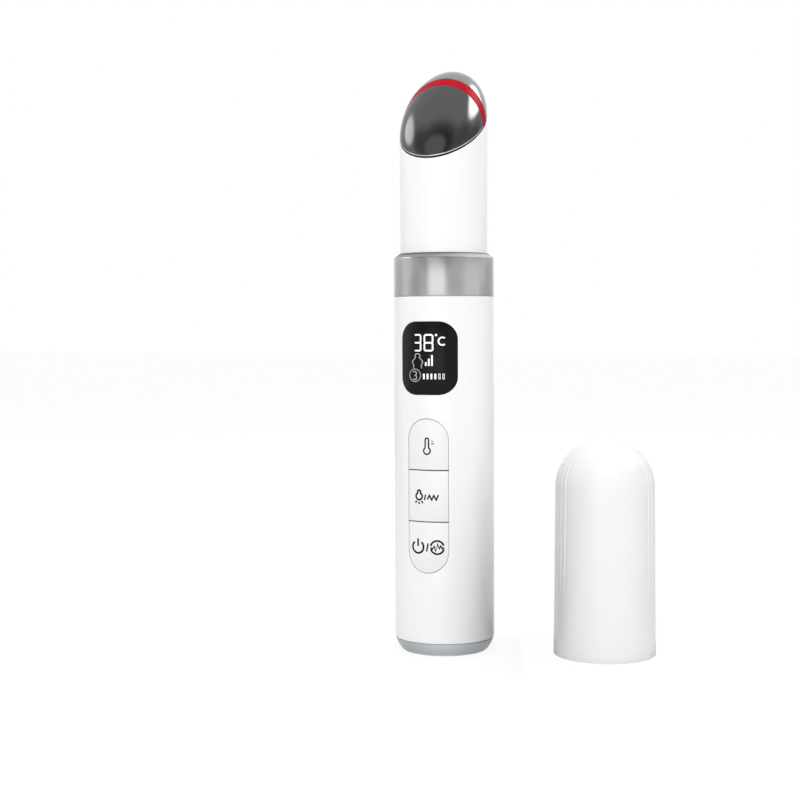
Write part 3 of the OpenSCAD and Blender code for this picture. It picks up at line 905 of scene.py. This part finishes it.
class Dome:
    """The dome: a half ball drawn up and sheared, so that its equator is the slanted rim.

    A point is found where the dome, sunk by an inset, meets a plane along X. The plane goes
    through the foot of the light band's cut or through the band itself, and leans from the rim's
    plane to the cut's plane. An offset draws all edges in, for the rounding of the pieces.
    """

    def __init__(self, sizes):
        self.radius = sizes.neck_radius
        self.rise = sizes.dome_rise
        self.height = sizes.rim_height
        self.shear = math.tan(sizes.rim_slope)
        self.rim_scale = 1 / math.cos(sizes.rim_slope)
        self.half = sizes.band_width / 2
        self.lean = (math.cos(sizes.band_lean), math.sin(sizes.band_lean))
        self.rim_edge = sizes.rim_edge / sizes.soft_edge

    def meet(self, inset, offset, cut_place, side, across, along):
        """The point at a share along the arc. Across is 0 on the rim's plane and 1 on the cut's."""
        radius, rise = self.radius - inset, self.rise - inset
        lift = offset * self.rim_scale * self.rim_edge
        upright = self.lean[0] + self.shear * self.lean[1]
        foot = Vector(((cut_place - lift * self.lean[1]) / upright / radius, lift / rise))
        top = math.atan2(upright / rise, -side * self.lean[1] / radius)
        way = Vector((side * math.cos(across * top), math.sin(across * top)))
        near = -foot.dot(way)
        arc = math.sqrt(max(1 - foot.length_squared + near * near, 0))
        start = math.asin(max(-1, min(1, -near / arc)))
        turn = start + along * (math.pi - 2 * start)
        spot = foot + way * (near + arc * math.sin(turn))
        return Vector(
            (
                radius * arc * math.cos(turn),
                radius * spot.x,
                self.height + radius * self.shear * spot.x + rise * spot.y,
            )
        )

    def plate(self, side):
        """Where a plate's points lie. Side is -1 for the front plate and 1 for the back plate."""

        def place(inset, offset, across, along):
            return self.meet(inset, offset, side * (self.half + offset), side, across, along)

        return place

    def band(self, gap):
        """Where the light band's points lie, from its front edge to its back edge."""

        def place(inset, offset, across, along):
            cut_place = (2 * across - 1) * (self.half - gap - offset)
            return self.meet(inset, offset, cut_place, -1, 1, along)

        return place


def dome_shell(place, wall, edge, columns, rows):
    """A curved plate of the dome, with rounded edges: a grid, its rim pulled down, and its inside."""
    bm = bmesh.new()
    across = bm.verts.layers.float.new("across")
    along = bm.verts.layers.float.new("along")
    cut_edge = bm.verts.layers.float.new("cut_edge")

    def settle(verts, inset, offset):
        for vert in verts:
            vert.co = place(inset, offset, vert[across], vert[along])

    def skin(inset, offset):
        made = bmesh.ops.create_grid(bm, x_segments=columns, y_segments=rows, size=0.5)["verts"]
        for vert in made:
            vert[across] = vert.co.x + 0.5
            vert[along] = vert.co.y + 0.5
        settle(made, inset, offset)
        return made

    outer = skin(0, edge)
    bmesh.ops.remove_doubles(bm, verts=outer, dist=TOUCH)
    rim = [e for e in bm.edges if e.is_boundary]
    rounds = 5
    steps = [math.radians(90) * k / rounds for k in range(1, rounds + 1)]
    levels = [(edge * (1 - math.cos(a)), edge * (1 - math.sin(a)), 1) for a in steps]
    for inset, offset, bright in levels + [(wall, 0, 0)]:
        made = bmesh.ops.extrude_edge_only(bm, edges=rim)["geom"]
        row = only(bmesh.types.BMVert, made)
        settle(row, inset, offset)
        for vert in row:
            # The rows of the rim's rounding are marked for the painted highlight.
            vert[cut_edge] = bright if vert[across] < 0.01 else 0
        rim = [e for e in only(bmesh.types.BMEdge, made) if e.is_boundary]
    inner = set(skin(wall, 0))
    bmesh.ops.reverse_faces(bm, faces=[f for f in bm.faces if all(v in inner for v in f.verts)])
    bmesh.ops.remove_doubles(bm, verts=bm.verts[:], dist=MERGE)
    bmesh.ops.dissolve_degenerate(bm, edges=bm.edges[:], dist=TOUCH)
    face_out(bm)
    return bm


# Pieces


def foot_arc(sizes):
    """Centre radius and radius of the arc that draws the handle in to the foot."""
    inward = sizes.body_radius - sizes.foot_radius
    radius = (sizes.foot_curve**2 + inward**2) / (2 * inward)
    return sizes.body_radius - radius, radius


class WAND_OT_base(Operator):
    """Build the metal base with its foot, spigot and charging slot"""

    bl_idname = "wand.base"
    bl_label = "Base"

    def execute(self, context):
        sizes = context.scene.wand_sizes
        centre, radius = foot_arc(sizes)
        foot_turn = math.degrees(math.asin(sizes.foot_curve / radius))
        top_turn = math.degrees(math.asin((sizes.foot_curve - sizes.parting) / radius))
        floor, spigot, spigot_top = 2 * MM, sizes.body_bore - SLIP, 9.2 * MM
        inside = spigot - 1.2 * MM
        outline = Outline(0, 0).line(sizes.foot_radius, 0, 0.14 * MM)
        outline.arc(centre, sizes.foot_curve, foot_turn - top_turn, 14).soften(0.1 * MM)
        outline.line(spigot, sizes.parting).line(spigot, spigot_top, 0.3 * MM)
        outline.line(inside, spigot_top).line(inside, floor).line(0, floor)
        bm = outline.turn()
        pilot, boss_radius, boss_top, boss_foot = 0.85 * MM, 1.7 * MM, 7.8 * MM, 1.2 * MM
        for side in (-1, 1):
            boss = Outline(pilot, 2.4 * MM).line(pilot, boss_top).line(boss_radius, boss_top, 0.15 * MM)
            boss = boss.line(boss_radius, boss_foot).line(0, boss_foot).line(0, 2.4 * MM)
            bm = carve(bm, boss.turn(48, (side * 7.7 * MM, 0)), "UNION")
        slot = cutter(9.34 * MM, 3.66 * MM, 1.83 * MM, 0, 2 * floor, 0.1 * MM)
        bmesh.ops.rotate(slot, matrix=Matrix.Rotation(math.radians(90), 3, "X"), verts=slot.verts[:])
        face_out(slot)
        bm = carve(bm, slot)
        add_piece("base", bm, WAND, "base_metal", ["base_cap"])
        return {"FINISHED"}


class WAND_OT_handle(Operator):
    """Build the white handle tube with the window's ledge and the opening for the keys"""

    bl_idname = "wand.handle"
    bl_label = "Handle"

    def execute(self, context):
        sizes = context.scene.wand_sizes
        centre, radius = foot_arc(sizes)
        turn = math.asin((sizes.foot_curve - sizes.parting) / radius)
        outline = Outline(sizes.body_bore, sizes.parting)
        outline.line(centre + radius * math.cos(turn), sizes.parting, 0.08 * MM)
        outline.arc(centre, sizes.foot_curve, math.degrees(turn), 6)
        outline.line(sizes.body_radius, sizes.handle_top, sizes.soft_edge)
        outline.line(sizes.body_bore, sizes.handle_top)
        bm = outline.turn(512)
        middle = (WINDOW_LOW.z + WINDOW_HIGH.z) / 2
        window = (sizes.window_width, sizes.window_height, sizes.window_corner)
        ledge, through, lip = 1 * MM, 3 * MM, 0.1 * MM
        hole = (window[0] - 2 * ledge, window[1] - 2 * ledge, window[2] - ledge)
        keys_middle = sizes.keys_foot + sizes.keys_height / 2
        keys = (sizes.keys_width, sizes.keys_height, sizes.keys_width / 2)
        body = sizes.body_radius
        bm = carve(bm, opening(*window, middle, body, sizes.pane_depth, lip))
        bm = carve(bm, opening(*hole, middle, body, through, 0))
        bm = carve(bm, opening(*keys, keys_middle, body, through, lip, 24))
        add_piece("handle", bm, WAND, "white_gloss", ["handle_shell"])
        return {"FINISHED"}


class WAND_OT_display(Operator):
    """Build the black pane of the display and the marks that are lit on it"""

    bl_idname = "wand.display"
    bl_label = "Display"

    def execute(self, context):
        sizes = context.scene.wand_sizes
        gap = 0.06 * MM
        radius = sizes.body_radius - 0.02 * MM
        edge, middle = 0.1 * MM, (WINDOW_LOW.z + WINDOW_HIGH.z) / 2
        width, height = sizes.window_width - 2 * gap, sizes.window_height - 2 * gap
        pane = flat_form(width, height, sizes.window_corner - gap, middle, edge, 12)
        thicken(pane, sizes.pane_depth - 0.08 * MM, edge, radius)
        add_piece("display_pane", pane, WAND, "window_black", ["display_window"])
        for name, draw in (("bright", display_marks), ("dim", dim_marks)):
            marks = bmesh.new()
            draw(marks)
            raised = raise_marks(marks, radius, 0.015 * MM)
            add_piece(f"display_marks_{name}", raised, WAND, "light_guide", finish=f"{name}_mark")
        return {"FINISHED"}


class WAND_OT_keys(Operator):
    """Build the three keys with their flanges, plungers and printed symbols"""

    bl_idname = "wand.keys"
    bl_label = "Keys"

    def execute(self, context):
        sizes = context.scene.wand_sizes
        symbols = (temperature_marks, mode_marks, power_marks)
        radius = sizes.body_radius - 0.05 * MM
        for number, (name, symbol) in enumerate(zip(KEYS, symbols)):
            self.add_key(sizes, number, name, radius)
            marks = bmesh.new()
            symbol(marks)
            raised = raise_marks(marks, radius, 0.012 * MM)
            add_piece(f"symbol_{name}", raised, f"key_{name}_body", "key_white", finish="key_ink")
        return {"FINISHED"}

    def add_key(self, sizes, number, name, radius):
        """A key: its face, the flange that keeps it in the handle, and the plunger behind it."""
        height = sizes.keys_height / len(KEYS)
        top = sizes.keys_foot + sizes.keys_height - number * height
        middle = top - height / 2
        face = self.slab(sizes, number, middle, height, 0, radius, 2.3 * MM, 0.14 * MM)
        flange = self.slab(sizes, number, middle, height, 0.8 * MM, 11.8 * MM, 0.62 * MM, 0.03 * MM)
        bm = carve(face, flange, "UNION")
        plunger = bmesh.new()
        thin, long, back = 1.4 * MM, 3.3 * MM, 9.7 * MM
        turn = Matrix.Translation((0, -back, middle)) @ Matrix.Rotation(math.radians(90), 4, "X")
        form = {"segments": 48, "radius1": thin, "radius2": thin, "depth": long}
        bmesh.ops.create_cone(plunger, cap_ends=True, matrix=turn, **form)
        bm = carve(bm, plunger, "UNION")
        add_piece(f"key_{name}_cap", bm, f"key_{name}_body", "key_white", [f"key_{name}"])

    def slab(self, sizes, number, middle, height, grow, radius, thick, edge):
        """A key's share of the field: round above on the first key and below on the last."""
        gap = sizes.key_gap
        wider = 2 * grow if grow else -2 * gap
        width, field = sizes.keys_width + wider, sizes.keys_height + wider
        field_middle = sizes.keys_foot + sizes.keys_height / 2
        if number == 1:
            bm = flat_form(width, height - 2 * gap, edge, middle, edge, 4)
        else:
            bm = flat_form(width, field, width / 2, field_middle, edge, 32)
            side = 1 if number == 0 else -1
            level = middle - side * (height / 2 - gap)
            slice_form(bm, (0, 0, level), (0, 0, -side), clear_outer=True)
            bevel(bm, [v for v in bm.verts if abs(v.co.z - level) < MERGE], edge)
        return thicken(bm, thick, edge, radius)


class WAND_OT_collar(Operator):
    """Build the satin metal collar with its conical shoulder"""

    bl_idname = "wand.collar"
    bl_label = "Collar"

    def execute(self, context):
        sizes = context.scene.wand_sizes
        bore = sizes.neck_radius + 0.05 * MM
        outline = Outline(bore, sizes.handle_top).line(sizes.body_radius, sizes.handle_top, 0.16 * MM)
        outline.line(sizes.body_radius, sizes.collar_top - sizes.shoulder, 0.3 * MM)
        outline.line(bore + 0.08 * MM, sizes.collar_top, 0.06 * MM)
        outline.line(bore, sizes.collar_top)
        add_piece("collar", outline.turn(), WAND, "collar_metal", ["collar_ring"])
        return {"FINISHED"}


class WAND_OT_neck(Operator):
    """Build the neck, slanted at its upper end, and the black gasket on it"""

    bl_idname = "wand.neck"
    bl_label = "Neck"

    def execute(self, context):
        sizes = context.scene.wand_sizes
        top = sizes.rim_height + 2 * sizes.neck_radius
        outer, bore = sizes.neck_radius, sizes.neck_bore
        groove, foot, fit = outer - 0.2 * MM, sizes.handle_top - 4 * MM, sizes.body_bore - SLIP
        drop = sizes.seam / math.cos(sizes.rim_slope)
        outline = Outline(bore, foot).line(fit, foot, 0.2 * MM)
        outline.line(fit, sizes.handle_top).line(groove, sizes.handle_top)
        outline.line(groove, sizes.collar_top).line(outer, sizes.collar_top).line(outer, top)
        bm = outline.line(bore, top).turn()
        rims = cut(bm, sizes.rim_height - drop, sizes.rim_slope, keep_below=True)
        edge = [e for e in rims if e.is_valid and e.verts[0].co.xy.length > (outer + bore) / 2]
        bevel(bm, edge, 0.08 * MM, 3, "EDGES")
        face_out(bm)
        add_piece("neck", bm, WAND, "white_gloss", ["neck_tube"])
        inner = bore + SLIP
        ring = Outline(inner, sizes.collar_top).line(groove, sizes.collar_top).line(groove, top)
        bm = ring.line(inner, top).turn()
        cut(bm, sizes.rim_height, sizes.rim_slope, keep_below=True)
        cut(bm, sizes.rim_height - drop, sizes.rim_slope, keep_below=False)
        face_out(bm)
        add_piece("gasket", bm, WAND, "black_rubber", ["head_gasket"])
        return {"FINISHED"}


class WAND_OT_head(Operator):
    """Build the head: the dark contact plate, the silver back plate and the red light band"""

    bl_idname = "wand.head"
    bl_label = "Head"

    def execute(self, context):
        sizes = context.scene.wand_sizes
        dome = Dome(sizes)
        rows = 144
        # name, where its points lie, wall, columns of faces, finish, CAD node
        shells = (
            ("front_plate", dome.plate(-1), sizes.plate_wall, 56, "dark_chrome", "contact_plate"),
            ("rear_plate", dome.plate(1), sizes.plate_wall, 56, "silver_chrome", "back_plate"),
            ("lamp_band", dome.band(0.04 * MM), sizes.band_wall, 10, "red_lens", "light_band"),
        )
        for name, place, wall, columns, finish, node in shells:
            bm = dome_shell(place, wall, sizes.soft_edge, columns, rows)
            add_piece(name, bm, WAND, finish, [node])
        return {"FINISHED"}


class WAND_OT_cap(Operator):
    """Build the protective cap that stands beside the wand, with its fine grip grooves"""

    bl_idname = "wand.cap"
    bl_label = "Cap"

    grooves: IntProperty(name="Grooves", description="Fine grooves on each side", default=3, min=0)
    depth: length("Groove depth", "Depth of a grip groove", 0.28 * MM)
    width: length("Groove width", "Half the width of a grip groove", 0.27 * MM)
    middle: tilt("Middle", "Direction that the cap's two grooved flanks lie left and right of", 18.3)
    spread: tilt("Spread", "Turn from that direction to the middle groove of a flank", 63)
    pitch: tilt("Pitch", "Turn between two grooves", 8.7)

    def execute(self, context):
        centre = (CAP_LOW + CAP_HIGH) / 2
        mouth = (CAP_HIGH.x - CAP_LOW.x) / 2
        bore, radius = 12.1 * MM, 13.2 * MM
        side = CAP_HIGH.z - radius
        outline = Outline(bore + 0.5 * MM, 0).line(mouth, 0, 0.22 * MM).line(radius, side, 0, 28)
        outline.arc(0, side, 90, 30).line(0, side + bore).arc(0, side, -90, 14)
        outline.line(bore, 4.55 * MM, 0.1 * MM).line(bore - 0.2 * MM, 4 * MM, 0.3 * MM)
        outline.line(bore, 3.45 * MM, 0.1 * MM).line(bore, 0.5 * MM, 0.1 * MM)
        fine = (self.grooves + 0.4) * self.pitch
        front = 2 * self.spread - fine
        rear = FULL_TURN - front - 2 * fine
        small, wide = math.radians(0.42), math.radians(2.4)
        turns = ((fine, small), (front, wide), (fine, small), (rear, wide))
        parts = [(angle, math.ceil(angle / step)) for angle, step in turns]
        start = self.middle - self.spread - fine / 2 - math.radians(90)
        bm = outline.turn(start=start, parts=parts)
        self.groove(bm, radius, side)
        bmesh.ops.translate(bm, verts=bm.verts[:], vec=(centre.x, centre.y, 0))
        add_piece("cap", bm, "cap", "cap_white", ["cap_shell"])
        return {"FINISHED"}

    def groove(self, bm, radius, side):
        """Presses fine upright grooves into both flanks. They fade out half-way down the cap."""
        places = [
            flank * (self.spread + (k - (self.grooves - 1) / 2) * self.pitch)
            for flank in (-1, 1)
            for k in range(self.grooves)
        ]
        low, high, hub = 16 * MM, side + 9.5 * MM, 4 * MM
        for vert in bm.verts:
            across, up = vert.co.xy.length, vert.co.z
            out = Vector((across, max(up - side, 0))).length
            if out < radius - 0.4 * MM or up < low or across < hub:
                continue
            azimuth = math.atan2(vert.co.x, -vert.co.y) - self.middle
            fade = min((up - low) / (12 * MM), (high - up) / (3 * MM), 1)
            if fade <= 0:
                continue
            dent = 0
            for place in places:
                away = (azimuth - place + math.pi) % FULL_TURN - math.pi
                dent += math.exp(-((away * across / self.width) ** 2))
            inward = Vector((vert.co.x, vert.co.y, max(up - side, 0))).normalized()
            vert.co -= inward * dent * self.depth * fade


class WAND_OT_inside(Operator):
    """Give every CAD node that stays in view, or inside, its finish"""

    bl_idname = "wand.inside"
    bl_label = "Inner parts"

    def execute(self, context):
        slots = {s["node"]: s["material_slot"] for s in frame["record"]["subparts"]}
        for name, node in frame["nodes"].items():
            node.data.materials.clear()
            node.data.materials.append(finish_of(slots[name]))
        return {"FINISHED"}


class WAND_OT_stage(Operator):
    """Set the floor, the lights, the world and the camera"""

    bl_idname = "wand.stage"
    bl_label = "Stage"

    def execute(self, context):
        stage = context.scene.wand_stage
        context.scene.view_settings.view_transform = "Standard"
        self.add_floor(stage)
        self.set_world(context, stage)
        self.add_camera(context, stage)
        # name, azimuth and elevation seen from the camera's side, distance, size, power
        lamps = (
            ("front_lamp", 4, 34, 0.62, (0.5, 0.3), 1.45),
            ("left_lamp", -62, 20, 0.7, (0.3, 0.5), 0.28),
            ("top_lamp", 20, 82, 0.8, (0.6, 0.6), 0.6),
            ("rear_lamp", 176, 32, 0.8, (0.6, 0.4), 1.1),
        )
        for name, azimuth, elevation, away, size, power in lamps:
            self.add_lamp(context, name, self.facing(stage, azimuth, elevation, away), size, power)
        # name, azimuth, elevation, distance, half angles across and up, level, softness, squareness
        cards = (
            ("white_strip", -16, -8, 0.5, (26, 20), 1.72, 0.5, 8),
            ("left_grey_strip", -66, -6, 0.51, (17, 19), 0.64, 0.7, 8),
            ("right_grey_strip", 26, -6, 0.51, (16, 19), 0.78, 0.7, 8),
            ("right_mid_strip", 68, -6, 0.52, (28, 19), 1.1, 0.5, 8),
            ("left_mid_strip", -98, -6, 0.52, (16, 19), 1.05, 0.5, 8),
            ("left_rear_strip", -125, -6, 0.52, (28, 19), 0.78, 0.6, 8),
            ("right_rear_strip", 128, -6, 0.52, (28, 19), 0.7, 0.6, 8),
            ("front_flag", -18, 28, 0.8, (54, 36), 0.2, 0.65, 2),
            ("left_flag", -66, 27, 0.78, (25, 24), 0.36, 0.7, 2),
            ("right_flag", 42, 26, 0.78, (34, 26), 0.45, 0.7, 2),
            ("low_right_flag", 80, 17, 0.76, (30, 15), 0.5, 0.6, 2),
            ("front_glow", -26, 24, 0.62, (29, 22), 0.72, 0.45, 2),
            ("right_box", 98, 50, 0.7, (29, 16), 11.0, 0.45, 2),
            ("left_box", -107, 29, 0.7, (20, 13.5), 4.2, 0.45, 2),
        )
        for name, azimuth, elevation, away, angles, level, softness, squareness in cards:
            size = [2 * away * math.tan(math.radians(angle)) for angle in angles]
            card = self.add_sheet(name, size, soft_card(name, size, level, softness, squareness))
            card.matrix_world = self.facing(stage, azimuth, elevation, away)
            self.hide(card, "camera", "diffuse", "shadow")
        # name, place to the right of the wand and in front of it, size, level
        sheets = (
            ("foot_glow", -6, 34, (70, 56), 1.3),
            ("right_foot_flag", 40, 4, (62, 80), 0.25),
            ("left_foot_flag", -44, 0, (60, 80), 0.8),
        )
        for name, right, near, sides, level in sheets:
            size = [side * MM for side in sides]
            card = self.add_sheet(name, size, soft_card(name, size, level, 0.6, 2))
            turn = Matrix.Rotation(stage.view_azimuth, 4, "Z")
            card.matrix_world = turn @ Matrix.Translation((right * MM, -near * MM, 0.1 * MM))
            self.hide(card, "camera", "diffuse", "shadow")
        # name, width, place along it and out to the right, facing, cover seen from the front and back
        flags = (
            ("gap_flag", 54, -10, 20.5, 90, 0.42, 1.0),
            ("cap_flag", 44, 14, -68, -90, 0.22, 0.0),
        )
        for name, width, along, out, azimuth, front, back in flags:
            flag = self.add_sheet(name, (width * MM, FLAG_HEIGHT), flag_cloth(name, front, back))
            place = Matrix.Translation((along * MM, FLAG_HEIGHT / 2, out * MM))
            flag.matrix_world = self.turned(stage, azimuth, 0) @ place
            self.hide(flag, "camera", "glossy", "transmission", "shadow")
        return {"FINISHED"}

    def hide(self, thing, *rays):
        """Keeps some kinds of rays from seeing an object."""
        for kind in rays:
            setattr(thing, f"visible_{kind}", False)

    def turned(self, stage, azimuth, elevation):
        """Turns a sheet or lamp to face along a direction. Azimuth 0 is the camera's side."""
        turn, rise = stage.view_azimuth + math.radians(azimuth), math.radians(elevation)
        way = Vector((math.sin(turn) * math.cos(rise), -math.cos(turn) * math.cos(rise), math.sin(rise)))
        return way.to_track_quat("Z", "Y").to_matrix().to_4x4()

    def facing(self, stage, azimuth, elevation, away):
        """Places a sheet or lamp at a distance from the middle of the wand, and faces it there."""
        turned = self.turned(stage, azimuth, elevation)
        return Matrix.Translation((0, 0, 100 * MM)) @ turned @ Matrix.Translation((0, 0, away))

    def add_sheet(self, name, size, material):
        """A flat sheet of the stage, which faces up."""
        bm = bmesh.new()
        verts = bmesh.ops.create_grid(bm, x_segments=1, y_segments=1, size=0.5)["verts"]
        bmesh.ops.scale(bm, vec=(*size, 1), verts=verts)
        sheet = linked(name, bm)
        sheet.data.materials.append(material)
        return sheet

    def add_floor(self, stage):
        """A floor that renders white. Its lit part keeps the shadows of what stands on it."""
        finish = Finish("floor_white", {"Roughness": 0.9, "Specular IOR Level": 0.1})
        cloud = finish.noise(600, 2)
        finish.set("Base Color", finish.blend(cloud, (0.77, 0.77, 0.77), (0.79, 0.79, 0.79)))
        white = finish.node("ShaderNodeEmission", None, {"Color": (1, 1, 1, 1), "Strength": 1.07})
        straight = finish.node("ShaderNodeLightPath", output="Is Camera Ray")
        finish.show(straight * 0.5 + seen_rays(finish) * 0.3, finish.lit, white)
        self.add_sheet("floor", (stage.floor_size, stage.floor_size), finish.material)

    def set_world(self, context, stage):
        """Even light from all round, and plain white where the world itself is seen."""
        world = bpy.data.worlds.new("studio")
        world.use_nodes = True
        context.scene.world = world
        graph = Graph(world.node_tree)
        level = seen_rays(graph) * (1 - stage.world_level) + stage.world_level
        back = world.node_tree.nodes["Background"]
        graph.feed(back.inputs["Color"], (1, 1, 1, 1))
        graph.feed(back.inputs["Strength"], level)

    def add_lamp(self, context, name, place, size, power):
        """A soft area lamp. The cards stand in for it where it would be reflected."""
        data = bpy.data.lights.new(name, "AREA")
        data.shape = "RECTANGLE"
        data.size, data.size_y = size
        data.energy = power
        lamp = bpy.data.objects.new(name, data)
        lamp.matrix_world = place
        lamp.visible_glossy = False
        context.scene.collection.objects.link(lamp)

    def add_camera(self, context, stage):
        """The camera at the photograph's angle."""
        data = bpy.data.cameras.new("camera")
        data.sensor_width = 36
        data.lens = stage.lens
        data.clip_start = 0.01
        camera = bpy.data.objects.new("camera", data)
        context.scene.collection.objects.link(camera)
        place = Matrix.Translation((0, -stage.distance, stage.height))
        look = Matrix.Rotation(-stage.yaw, 4, "Z") @ Matrix.Rotation(math.radians(90) - stage.pitch, 4, "X")
        turn = Matrix.Rotation(stage.view_azimuth, 4, "Z")
        camera.matrix_world = turn @ place @ look @ Matrix.Rotation(stage.roll, 4, "Z")
        context.scene.camera = camera


class WAND_PT_sidebar(Panel):
    """Lists the wand's pieces, sizes and colours"""

    bl_idname = "WAND_PT_sidebar"
    bl_label = "Eye massager wand"
    bl_space_type = "VIEW_3D"
    bl_region_type = "UI"
    bl_category = "Wand"

    def draw(self, context):
        layout = self.layout
        for operator in OPERATORS:
            layout.operator(operator.bl_idname)
        for group in (context.scene.wand_sizes, context.scene.wand_colours, context.scene.wand_stage):
            box = layout.box()
            for name in group.bl_rna.properties.keys():
                if name not in ("rna_type", "name"):
                    box.prop(group, name)


GROUPS = {"wand_sizes": WandSizes, "wand_colours": WandColours, "wand_stage": WandStage}
OPERATORS = (
    WAND_OT_inside,
    WAND_OT_base,
    WAND_OT_handle,
    WAND_OT_display,
    WAND_OT_keys,
    WAND_OT_collar,
    WAND_OT_neck,
    WAND_OT_head,
    WAND_OT_cap,
    WAND_OT_stage,
)


def register():
    for name, group in GROUPS.items():
        bpy.utils.register_class(group)
        setattr(bpy.types.Scene, name, PointerProperty(type=group))
    for kind in (*OPERATORS, WAND_PT_sidebar):
        bpy.utils.register_class(kind)


def unregister():
    for kind in (WAND_PT_sidebar, *reversed(OPERATORS)):
        bpy.utils.unregister_class(kind)
    for name, group in GROUPS.items():
        delattr(bpy.types.Scene, name)
        bpy.utils.unregister_class(group)


def main():
    register()
    bpy.ops.wand.inside()
    bpy.ops.wand.base()
    bpy.ops.wand.handle()
    bpy.ops.wand.display()
    bpy.ops.wand.keys()
    bpy.ops.wand.collar()
    bpy.ops.wand.neck()
    bpy.ops.wand.head()
    bpy.ops.wand.cap()
    bpy.ops.wand.stage()


if __name__ == "__main__":
    main()
